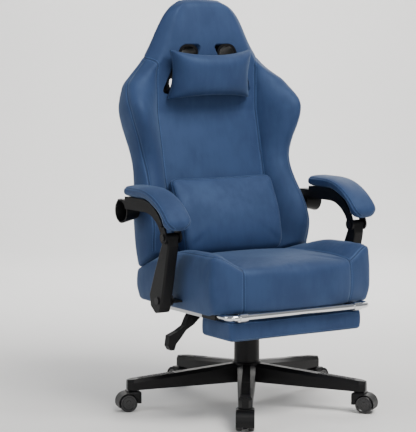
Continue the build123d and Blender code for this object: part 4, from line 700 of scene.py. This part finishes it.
def head_pillow():
    """The pillow's cover: two faces welded at their edge, with a seam round it."""
    s = np.sin(np.linspace(-1, 1, 44) * pi / 2)
    t = np.sin(np.linspace(-1, 1, 26) * pi / 2)
    a, b = np.meshgrid(s, t, indexing="ij")
    faces = [pillow_face(a, b, True).reshape(-1, 3), pillow_face(a, b, False).reshape(-1, 3)]
    quads = sheet_quads(*a.shape, False)
    both = np.concatenate([quads[:, ::-1], quads + a.size])
    points, back = np.unique(np.round(np.concatenate(faces), 4), axis=0, return_inverse=True)
    obj = piece("pillow_cover", points, back.reshape(-1)[both])
    behind = np.zeros(len(points), bool)
    behind[back.reshape(-1)[a.size:]] = True
    loop = corner_loop(np.array([(-1, -1), (1, -1), (1, 1), (-1, 1)], float), 60)
    line = resample(pillow_face(loop[:, 0], loop[:, 1], True))
    finish_cushion(obj, [line], pressure=3.0, cap=6.0, hold=2.0, depth=0.6, width=4.0, rest=behind)
    return obj


# Arm pads: height, level run, radius and turn of the top and under lines
ARM_TOP = (634, 75, 220, 54)
ARM_UNDER = (603.5, 95, 135, 69)
ARM_PAD_REAR = 95.0
ARM_PAD_HALF = 42.0
ARM_PAD_BELLY = 0.02
ARM_END_REAR = 0.055
ARM_END_FRONT = 0.10


def bent_line(t, height, level, radius, angle):
    """Side view line from the pad's rear: level for a run, then an arc that turns down by an angle."""
    run = t * (level + radius * radians(angle))
    turn = np.maximum(run - level, 0) / radius
    y = ARM_PAD_REAR - np.minimum(run, level) - radius * np.sin(turn)
    return np.stack([y, height - radius * (1 - np.cos(turn))], axis=-1)


def arm_pad(side):
    """Rounded section carried between the pad's top and under lines, closed by quarter circles."""
    turn = np.linspace(0, pi / 2, 9)
    rear_end = ARM_END_REAR * (1 - np.cos(turn))
    front_end = 1 - ARM_END_FRONT + ARM_END_FRONT * np.sin(turn)
    between = np.linspace(ARM_END_REAR, 1 - ARM_END_FRONT, 52)[1:-1]
    t = np.concatenate([rear_end, between, front_end])
    full = np.concatenate([np.sin(turn), np.ones(50), np.cos(turn)])
    full = np.maximum(full, 0.03)[:, None]
    top = bent_line(t, *ARM_TOP)
    under = bent_line(t, *ARM_UNDER)
    angle = np.linspace(0, 2 * pi, 48, endpoint=False)[None]
    c = signed_power(np.cos(angle), 0.62)
    s = signed_power(np.sin(angle), 0.72)
    belly = 1 + ARM_PAD_BELLY * np.sin(pi * t)[:, None]
    close = (0.25 + 0.75 * full) * np.where(full < 0.031, 0.1, 1)
    x = side * (ARM_X + ARM_PAD_HALF * belly * c * close)
    middle = (top + under) / 2
    half = (top - under) / 2
    lift = full * s
    ring = middle[:, None] + half[:, None] * lift[..., None]
    points = np.stack([x, ring[..., 0], ring[..., 1]], axis=-1)
    rows, cols = points.shape[:2]
    faces = tube_faces(rows, cols)
    name = "left" if side > 0 else "right"
    obj = piece("arm_cover_" + name, points.reshape(-1, 3), faces if side > 0 else flip(faces))
    rise = np.linspace(1.5, rows - 2.5, 300)
    lines = [resample(grid_line(points, rise, np.full_like(rise, col))) for col in (4.0, 20.0)]
    finish_cushion(obj, lines, pressure=3.0, cap=4.0, hold=3.0, depth=1.2, width=3.5)
    return obj


# Footrest pad
FOOT_LOW = np.array([-216.0, -250.0, 229.5])
FOOT_HIGH = np.array([216.0, -101.0, 287.6])
FOOT_EDGES = (11, 11, 8)
FOOT_BELLY = 1.5


def footrest_form(points):
    """Rounded block, crowned below, with slightly bowed sides and neat corners."""
    x, y, z = rounded(points, FOOT_LOW, FOOT_HIGH, FOOT_EDGES).T
    middle = (FOOT_LOW + FOOT_HIGH) / 2
    half = (FOOT_HIGH - FOOT_LOW) / 2
    down = np.clip((FOOT_HIGH[2] - z) / (2 * half[2]), 0, 1)
    aside = np.abs(x) / half[0]
    astern = np.abs(y - middle[1]) / half[1]
    flat = (1 - np.clip(aside, 0, 1) ** 4) * (1 - np.clip(astern, 0, 1) ** 4)
    z = z + down * (2.5 - 3.0 * flat)
    belly = FOOT_BELLY * np.sin(pi * down)
    x = x + np.sign(x) * belly * ease(0.6, 1.0, aside)
    y = y + np.sign(y - middle[1]) * belly * ease(0.5, 1.0, astern)
    return np.stack([x, y, z], axis=-1)


def footrest_pad():
    """The footrest's cover, sewn round its lower and its upper edge."""
    lows, highs = FOOT_LOW, FOOT_HIGH
    xs = stops([lows[0], lows[0] + 12, highs[0] - 12, highs[0]], 6)
    ys = stops([lows[1], lows[1] + 12, highs[1] - 12, highs[1]], 6)
    zs = stops([lows[2], lows[2] + 9, highs[2] - 9, highs[2]], 4.5)
    points, quads = block_grid(xs, ys, zs)
    obj = piece("footrest_cover", footrest_form(points), quads)
    corners = np.array([(lows[0], lows[1]), (highs[0], lows[1]), (highs[0], highs[1]), (lows[0], highs[1])])
    loop = corner_loop(corners, 80)
    lines = []
    for z in (lows[2] + 2, highs[2] - 2):
        line = np.concatenate([loop, np.full((len(loop), 1), z)], axis=1)
        lines.append(resample(footrest_form(line)))
    board = points[:, 2] > highs[2] - 1
    finish_cushion(obj, lines, pressure=2.0, cap=2.5, hold=3.0, depth=0.8, width=3.0, rest=board)
    return obj


# Pillow strap: its section is (depth from the outer face, place across the width)
STRAP_CORNER = 0.07
STRAP_HALF = 15.0
STRAP_SECTION = [(0.3, -15), (0, -14), (0, 14), (0.3, 15), (1.7, 15), (2, 14), (2, -14), (1.7, -15)]


def head_strap():
    """Elastic band: a rounded rectangle in plan, carried up its width with thin rolled edges."""
    low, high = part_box("head_strap")
    low = np.array(low) / MM
    high = np.array(high) / MM
    middle = (low + high) / 2
    half = (high - low) / 2
    lean = RECLINE - PILLOW_SLOPE
    angle = np.linspace(0, 2 * pi, 120, endpoint=False)
    circle = np.stack([np.cos(angle), np.sin(angle)], axis=-1)
    depth = half[1] - STRAP_HALF * sin(lean)
    x, y = (signed_power(circle, STRAP_CORNER) * (half[0], depth)).T
    inward = signed_power(circle, 2 - STRAP_CORNER)
    inward /= np.linalg.norm(inward, axis=1, keepdims=True)
    section = np.array(STRAP_SECTION)
    dx = x[:, None] - inward[:, :1] * section[:, 0]
    dy = y[:, None] - inward[:, 1:] * section[:, 0]
    up = np.broadcast_to(section[:, 1], dx.shape)
    points = np.stack([middle[0] + dx, middle[1] + dy * cos(lean) + up * sin(lean),
                       middle[2] - dy * sin(lean) + up * cos(lean)], axis=-1)
    rows, cols = points.shape[:2]
    quads = sheet_quads(rows, cols, True)
    first = np.arange(cols)
    after = (first + 1) % cols
    last = (rows - 1) * cols
    join = np.stack([last + first, last + after, after, first], axis=1)
    return piece("strap_band", points.reshape(-1, 3), np.concatenate([quads, join])[:, ::-1])


# Shader groups
def group(name, inputs, outputs):
    """Empty shader node group with number sockets: inputs with their default values, and outputs."""
    tree = bpy.data.node_groups.new(name, "ShaderNodeTree")
    for label, value in inputs.items():
        socket = tree.interface.new_socket(name=label, in_out="INPUT", socket_type="NodeSocketFloat")
        socket.default_value = value
    for label in outputs:
        tree.interface.new_socket(name=label, in_out="OUTPUT", socket_type="NodeSocketFloat")
    return tree, tree.nodes.new("NodeGroupInput"), tree.nodes.new("NodeGroupOutput")


def link(tree, start, end):
    """Joins an output socket to an input socket."""
    tree.links.new(start, end)


def math(tree, kind, a, b=None, c=None):
    """Math node; numbers are set and sockets are linked."""
    node = tree.nodes.new("ShaderNodeMath")
    node.operation = kind
    for socket, value in zip(node.inputs, (a, b, c)):
        if value is None:
            continue
        if isinstance(value, (int, float)):
            socket.default_value = value
        else:
            link(tree, value, socket)
    return node.outputs[0]


def noise(tree, scale, detail=2.0, rough=0.5, stretch=None):
    """Noise value on Object coordinates, with an optional stretch of its axes."""
    place = tree.nodes.new("ShaderNodeTexCoord").outputs["Object"]
    if stretch:
        mapping = tree.nodes.new("ShaderNodeMapping")
        mapping.inputs["Scale"].default_value = stretch
        link(tree, place, mapping.inputs["Vector"])
        place = mapping.outputs["Vector"]
    node = tree.nodes.new("ShaderNodeTexNoise")
    link(tree, place, node.inputs["Vector"])
    if isinstance(scale, (int, float)):
        node.inputs["Scale"].default_value = scale
    else:
        link(tree, scale, node.inputs["Scale"])
    node.inputs["Detail"].default_value = detail
    node.inputs["Roughness"].default_value = rough
    return node.outputs["Fac"]


def ramp(tree, value, low, high, out_low=0.0, out_high=1.0):
    """S-curve of a value, from out_low at low to out_high at high."""
    node = tree.nodes.new("ShaderNodeMapRange")
    node.interpolation_type = "SMOOTHSTEP"
    link(tree, value, node.inputs["Value"])
    ends = {"From Min": low, "From Max": high, "To Min": out_low, "To Max": out_high}
    for label, number in ends.items():
        node.inputs[label].default_value = number
    return node.outputs["Result"]


def seam_group():
    """Sewn seam from the cover's seam attribute: a groove line that dents the bump and masks painted shade in
    the groove, and dashes of thread on both sides.
    """
    tree, given, out = group("sewn seam", {"Stitch": 0.004, "Offset": 0.004}, ["Line", "Thread", "Height"])
    mark = tree.nodes.new("ShaderNodeAttribute")
    mark.attribute_name = "seam"
    parts = tree.nodes.new("ShaderNodeSeparateXYZ")
    link(tree, mark.outputs["Vector"], parts.inputs[0])
    across, off, run = parts.outputs
    near = ramp(tree, off, 0.010, 0.007)
    gap = math(tree, "ABSOLUTE", across)
    # groove line along the seam: it dents the bump and is the mask of the painted shade in the groove
    line = math(tree, "MULTIPLY", ramp(tree, gap, 0.0016, 0.0004), near)
    beside = math(tree, "ABSOLUTE", math(tree, "SUBTRACT", gap, given.outputs["Offset"]))
    band = math(tree, "MULTIPLY", ramp(tree, beside, 0.0007, 0.0003), near)
    step = math(tree, "FRACT", math(tree, "DIVIDE", run, given.outputs["Stitch"]))
    dash = ramp(tree, math(tree, "ABSOLUTE", math(tree, "SUBTRACT", step, 0.5)), 0.40, 0.32)
    thread = math(tree, "MULTIPLY", band, dash)
    height = math(tree, "SUBTRACT", math(tree, "MULTIPLY", thread, 0.5), line)
    link(tree, line, out.inputs["Line"])
    link(tree, thread, out.inputs["Thread"])
    link(tree, height, out.inputs["Height"])
    return tree


def pile_group():
    """Short brushed pile: broad patches where the nap lies another way, soft streaks and a fine grain."""
    tree, given, out = group("brushed pile", {"Grain": 900.0}, ["Patch", "Height"])
    broad = noise(tree, 7.0, 3.0, 0.55)
    streak = noise(tree, 60.0, 3.0, 0.6, (1.0, 1.0, 0.3))
    grain = noise(tree, given.outputs["Grain"], 2.0, 0.6)
    patch = math(tree, "ADD", math(tree, "MULTIPLY", broad, 0.6), math(tree, "MULTIPLY", streak, 0.25))
    patch = math(tree, "ADD", patch, math(tree, "MULTIPLY", grain, 0.15))
    height = math(tree, "ADD", math(tree, "MULTIPLY", grain, 0.7), math(tree, "MULTIPLY", streak, 0.3))
    link(tree, ramp(tree, patch, 0.35, 0.65), out.inputs["Patch"])
    link(tree, height, out.inputs["Height"])
    return tree


def grain_group():
    """Moulded or coated surface: fine spark grain, slow cloudiness and a few scuffs."""
    tree, given, out = group("surface grain", {"Grain": 1500.0}, ["Cloud", "Scuff", "Height"])
    fine = noise(tree, given.outputs["Grain"], 1.0, 0.5)
    cloud = noise(tree, 9.0, 3.0, 0.55)
    scuff = noise(tree, 45.0, 6.0, 0.75, (1.0, 1.0, 3.0))
    link(tree, cloud, out.inputs["Cloud"])
    link(tree, ramp(tree, scuff, 0.62, 0.74), out.inputs["Scuff"])
    link(tree, fine, out.inputs["Height"])
    return tree


# Materials
def material(name):
    """New material with its node tree and its shader."""
    mat = bpy.data.materials.new(name)
    mat.use_nodes = True
    tree = mat.node_tree
    shader = tree.nodes["Principled BSDF"]
    return mat, tree, shader


def place_group(tree, shared, **values):
    """Shared group placed in a material's tree, with values for its inputs."""
    node = tree.nodes.new("ShaderNodeGroup")
    node.node_tree = shared
    for label, value in values.items():
        node.inputs[label].default_value = value
    return node


def mix(tree, share, low, high):
    """Colour between two colours or colour sockets by a share."""
    node = tree.nodes.new("ShaderNodeMix")
    node.data_type = "RGBA"
    link(tree, share, node.inputs["Factor"])
    for socket, value in ((node.inputs[6], low), (node.inputs[7], high)):
        if isinstance(value, tuple):
            socket.default_value = (*value, 1.0)
        else:
            link(tree, value, socket)
    return node.outputs[2]


def bump(tree, shader, height, distance, strength):
    """Bumps the shader's normal by a height."""
    node = tree.nodes.new("ShaderNodeBump")
    node.inputs["Strength"].default_value = strength
    node.inputs["Distance"].default_value = distance
    link(tree, height, node.inputs["Height"])
    link(tree, node.outputs["Normal"], shader.inputs["Normal"])


PILE = pile_group()
SEAM = seam_group()
GRAIN = grain_group()


def blue_velvet():
    """Blue short-pile upholstery: nap patches, painted shade along the seam grooves, thread dashes and a pale
    sheen.
    """
    mat, tree, shader = material("blue velvet")
    pile = place_group(tree, PILE, Grain=900.0)
    seam = place_group(tree, SEAM, Stitch=0.0045, Offset=0.0042)
    colour = mix(tree, pile.outputs["Patch"], (0.0165, 0.0315, 0.087), (0.0235, 0.0455, 0.118))
    colour = mix(tree, seam.outputs["Thread"], colour, (0.050, 0.100, 0.230))
    # painted shade: the seam's groove line turns the colour nearly black
    colour = mix(tree, seam.outputs["Line"], colour, (0.006, 0.013, 0.042))
    link(tree, colour, shader.inputs["Base Color"])
    rough = ramp(tree, pile.outputs["Patch"], 0.0, 1.0, 0.70, 0.60)
    link(tree, rough, shader.inputs["Roughness"])
    shader.inputs["Sheen Weight"].default_value = 0.20
    shader.inputs["Sheen Roughness"].default_value = 0.42
    shader.inputs["Sheen Tint"].default_value = (0.52, 0.74, 1.0, 1.0)
    shader.inputs["Specular IOR Level"].default_value = 0.60
    shader.inputs["Specular Tint"].default_value = (0.46, 0.68, 1.0, 1.0)
    height = math(tree, "ADD", math(tree, "MULTIPLY", pile.outputs["Height"], 0.22), seam.outputs["Height"])
    bump(tree, shader, height, 0.0009, 0.55)
    return mat


def coated(name, base, light, rough, grain, distance, metallic=0.0, coat=0.0, specular=0.5):
    """Moulded plastic, coat or plating: clouded colour, scuffs that lighten and roughen it, fine grain."""
    mat, tree, shader = material(name)
    node = place_group(tree, GRAIN, Grain=grain)
    colour = mix(tree, node.outputs["Cloud"], base, light)
    worn = tuple(min(1, 2.2 * c) for c in light)
    colour = mix(tree, math(tree, "MULTIPLY", node.outputs["Scuff"], 0.25), colour, worn)
    link(tree, colour, shader.inputs["Base Color"])
    spread = math(tree, "ADD", ramp(tree, node.outputs["Cloud"], 0.3, 0.7, rough - 0.05, rough + 0.05),
                  math(tree, "MULTIPLY", node.outputs["Scuff"], 0.08))
    link(tree, spread, shader.inputs["Roughness"])
    shader.inputs["Metallic"].default_value = metallic
    shader.inputs["Coat Weight"].default_value = coat
    shader.inputs["Specular IOR Level"].default_value = specular
    bump(tree, shader, node.outputs["Height"], distance, 0.4)
    return mat


# The footrest tube's front bar and the sleeves round it
FOOT_BAR_Y = -266.0
FOOT_BAR_Z = 300.0
SLEEVE_R = 12.6
SLEEVE_EDGE = 0.6


def clip_steel():
    """Black coated board whose sleeves, within a radius of the bar's axis, are chromed."""
    mat, tree, shader = material("sleeved board")
    node = place_group(tree, GRAIN, Grain=700.0)
    place = tree.nodes.new("ShaderNodeSeparateXYZ")
    link(tree, tree.nodes.new("ShaderNodeTexCoord").outputs["Object"], place.inputs[0])
    back = math(tree, "POWER", math(tree, "SUBTRACT", place.outputs[1], FOOT_BAR_Y * MM), 2.0)
    up = math(tree, "POWER", math(tree, "SUBTRACT", place.outputs[2], FOOT_BAR_Z * MM), 2.0)
    away = math(tree, "SQRT", math(tree, "ADD", back, up))
    bright = ramp(tree, away, (SLEEVE_R + SLEEVE_EDGE) * MM, SLEEVE_R * MM)
    dark = mix(tree, node.outputs["Cloud"], (0.006, 0.006, 0.007), (0.012, 0.012, 0.013))
    link(tree, mix(tree, bright, dark, (0.80, 0.81, 0.82)), shader.inputs["Base Color"])
    link(tree, bright, shader.inputs["Metallic"])
    gloss = ramp(tree, node.outputs["Cloud"], 0.3, 0.7, 0.10, 0.16)
    matt = math(tree, "ADD", gloss, 0.27)
    link(tree, math(tree, "SUBTRACT", matt, math(tree, "MULTIPLY", bright, 0.27)), shader.inputs["Roughness"])
    bump(tree, shader, node.outputs["Height"], 0.00005, 0.3)
    return mat


def plywood():
    """Plain veneer: long grain bands with fine pores."""
    mat, tree, shader = material("plywood")
    band = noise(tree, 22.0, 5.0, 0.6, (8.0, 0.8, 8.0))
    colour = mix(tree, ramp(tree, band, 0.3, 0.7), (0.42, 0.29, 0.17), (0.56, 0.42, 0.27))
    link(tree, colour, shader.inputs["Base Color"])
    shader.inputs["Roughness"].default_value = 0.6
    bump(tree, shader, band, 0.0004, 0.3)
    return mat


def elastic_band():
    """Black woven elastic: ribs across the band."""
    mat, tree, shader = material("elastic band")
    wave = tree.nodes.new("ShaderNodeTexWave")
    wave.inputs["Scale"].default_value = 160.0
    wave.bands_direction = "Z"
    link(tree, tree.nodes.new("ShaderNodeTexCoord").outputs["Object"], wave.inputs["Vector"])
    colour = mix(tree, wave.outputs["Fac"], (0.010, 0.010, 0.011), (0.030, 0.030, 0.033))
    link(tree, colour, shader.inputs["Base Color"])
    shader.inputs["Roughness"].default_value = 0.8
    bump(tree, shader, wave.outputs["Fac"], 0.0004, 0.6)
    return mat


velvet = blue_velvet()
finishes = {
    "black_plastic": coated("black nylon", (0.0035, 0.0035, 0.004), (0.007, 0.007, 0.0075),
                            rough=0.40, grain=1500.0, distance=0.00012, specular=0.2),
    "wheel_plastic": coated("wheel nylon", (0.007, 0.007, 0.008), (0.011, 0.011, 0.012),
                            rough=0.24, grain=900.0, distance=0.00005, coat=0.15),
    "black_steel": coated("black coat", (0.006, 0.006, 0.007), (0.012, 0.012, 0.013),
                          rough=0.38, grain=700.0, distance=0.0002, specular=0.3),
    "zinc_steel": coated("zinc plate", (0.52, 0.53, 0.55), (0.66, 0.67, 0.69),
                         rough=0.30, grain=500.0, distance=0.00006, metallic=1.0),
    "chrome": coated("bright chrome", (0.78, 0.79, 0.80), (0.84, 0.85, 0.86),
                     rough=0.10, grain=300.0, distance=0.00002, metallic=1.0),
    "plywood": plywood(),
    "elastic": elastic_band(),
}


# Dressing
DARK_PINS = ("arm_pin_left", "arm_pin_right", "arm_pivot_pins", "recliner_pins", "mechanism_pins")
for part in frame["record"]["subparts"]:
    finish = finishes.get(part["material_slot"], velvet)
    if part["node"] in DARK_PINS:
        finish = finishes["black_steel"]
    if part["node"] == "footrest_board":
        finish = clip_steel()
    node = frame["nodes"][part["node"]]
    node.data.materials.clear()
    node.data.materials.append(finish)


def dress(obj, body, node, finish):
    """Gives a piece its finish and its body, and hides the CAD node that it stands for."""
    obj.data.materials.clear()
    obj.data.materials.append(finish)
    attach(obj, body)
    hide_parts(node)


dress(back_shell(), "back", "back_cushion", velvet)
dress(lumbar_cushion(), "back", "lumbar_cushion", velvet)
dress(seat_cushion(), "seat", "seat_cushion", velvet)
# black sheet under the seat: partly painted shade in the gap above the footrest bar
under_seat_sheet = seat_underside_and_shade_sheet()
under_seat_sheet.data.materials.append(finishes["elastic"])
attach(under_seat_sheet, "seat")
dress(head_pillow(), "head_pillow", "head_pillow", velvet)
dress(footrest_pad(), "footrest", "footrest_pad", velvet)
dress(arm_pad(1), "arm_left", "arm_pad_left", velvet)
dress(arm_pad(-1), "arm_right", "arm_pad_right", velvet)
dress(head_strap(), "head_pillow", "head_strap", finishes["elastic"])


# Floor, light and camera
FLOOR_AHEAD = 6000.0
FLOOR_HALF = 9000.0
SWEEP_START = 3500.0
SWEEP_R = 1500.0
WALL_TOP = 6000.0
FLOOR_TURN = radians(-32.0)

# The photograph's view, fitted to the chair: metres, radians, and the focal length in the photograph's pixels
VIEW_BEARING = radians(33.51)
VIEW_ASIDE = radians(-1.21)
VIEW_PITCH = radians(6.11)
VIEW_DISTANCE = 5.2029
VIEW_HEIGHT = 1.0937
VIEW_FOCAL_PX = 1857.6
PHOTO_LONG_PX = 432
SENSOR_MM = 36.0


def area_light(name, place, aim, size, power, colour):
    """Rectangular light at a place in metres, turned to its aim."""
    data = bpy.data.lights.new(name, "AREA")
    data.shape = "RECTANGLE"
    data.size, data.size_y = size
    data.energy = power
    data.color = colour
    obj = bpy.data.objects.new(name, data)
    obj.location = place
    obj.rotation_euler = (Vector(aim) - Vector(place)).to_track_quat("-Z", "Y").to_euler()
    bpy.context.scene.collection.objects.link(obj)


def floor():
    """Pale floor that sweeps up behind the chair on a quarter circle, clear when seen from its rear side."""
    turn = np.linspace(0, pi / 2, 16)
    run = np.concatenate([[-FLOOR_AHEAD], SWEEP_START + SWEEP_R * np.sin(turn), [SWEEP_START + SWEEP_R]])
    rise = np.concatenate([[0.0], SWEEP_R * (1 - np.cos(turn)), [WALL_TOP]])
    side = np.array([-FLOOR_HALF, FLOOR_HALF])
    across, back, up = np.broadcast_arrays(side[None], run[:, None], rise[:, None])
    x = across * cos(FLOOR_TURN) - back * sin(FLOOR_TURN)
    y = across * sin(FLOOR_TURN) + back * cos(FLOOR_TURN)
    points = np.stack([x, y, up], axis=-1).reshape(-1, 3)
    obj = piece("floor", points, sheet_quads(len(run), 2, False))
    mat, tree, shader = material("pale floor")
    cloud = noise(tree, 1.5, 3.0)
    link(tree, mix(tree, cloud, (0.84, 0.83, 0.81), (0.88, 0.87, 0.85)), shader.inputs["Base Color"])
    shader.inputs["Roughness"].default_value = 0.75
    rear_side = tree.nodes.new("ShaderNodeNewGeometry").outputs["Backfacing"]
    link(tree, math(tree, "SUBTRACT", 1.0, rear_side), shader.inputs["Alpha"])
    obj.data.materials.append(mat)


def camera():
    """Camera at the photograph's angle: place and turn from the fitted view of the chair."""
    turn = VIEW_BEARING + VIEW_ASIDE
    data = bpy.data.cameras.new("camera")
    data.sensor_fit = "AUTO"
    data.sensor_width = SENSOR_MM
    data.lens = VIEW_FOCAL_PX / PHOTO_LONG_PX * SENSOR_MM
    data.clip_end = 100.0
    level = cos(VIEW_PITCH)
    ahead = Vector((sin(turn) * level, cos(turn) * level, -sin(VIEW_PITCH)))
    right = Vector((cos(turn), -sin(turn), 0.0))
    up = right.cross(ahead)
    place = Vector((-sin(VIEW_BEARING) * VIEW_DISTANCE, -cos(VIEW_BEARING) * VIEW_DISTANCE, VIEW_HEIGHT))
    turned = Matrix((right, up, -ahead)).transposed().to_4x4()
    obj = bpy.data.objects.new("camera", data)
    obj.matrix_world = Matrix.Translation(place) @ turned
    bpy.context.scene.collection.objects.link(obj)
    bpy.context.scene.camera = obj


def light():
    """Large soft lights above and in front, a fill from the side and an even surround."""
    area_light("key", (0.5, -2.2, 3.7), (0, 0, 0.6), (2.2, 1.8), 175, (1.0, 0.98, 0.96))
    area_light("front", (-1.7, -4.2, 2.0), (0, 0, 0.6), (2.6, 1.8), 40, (1.0, 0.99, 0.97))
    area_light("backdrop", (1.0, 1.5, 3.0), (2.6, 4.4, 0.9), (2.0, 1.2), 165, (1.0, 1.0, 1.0))
    area_light("side", (-3.4, 0.6, 1.9), (0, 0, 0.7), (1.6, 2.2), 34, (0.95, 0.97, 1.0))
    area_light("rim", (2.6, 2.0, 2.6), (0, 0, 0.8), (1.6, 1.6), 30, (1.0, 1.0, 1.0))
    world = bpy.data.worlds.new("studio")
    world.use_nodes = True
    surround = world.node_tree.nodes["Background"]
    surround.inputs["Color"].default_value = (0.80, 0.82, 0.85, 1.0)
    surround.inputs["Strength"].default_value = 0.36
    bpy.context.scene.world = world


floor()
light()
camera()
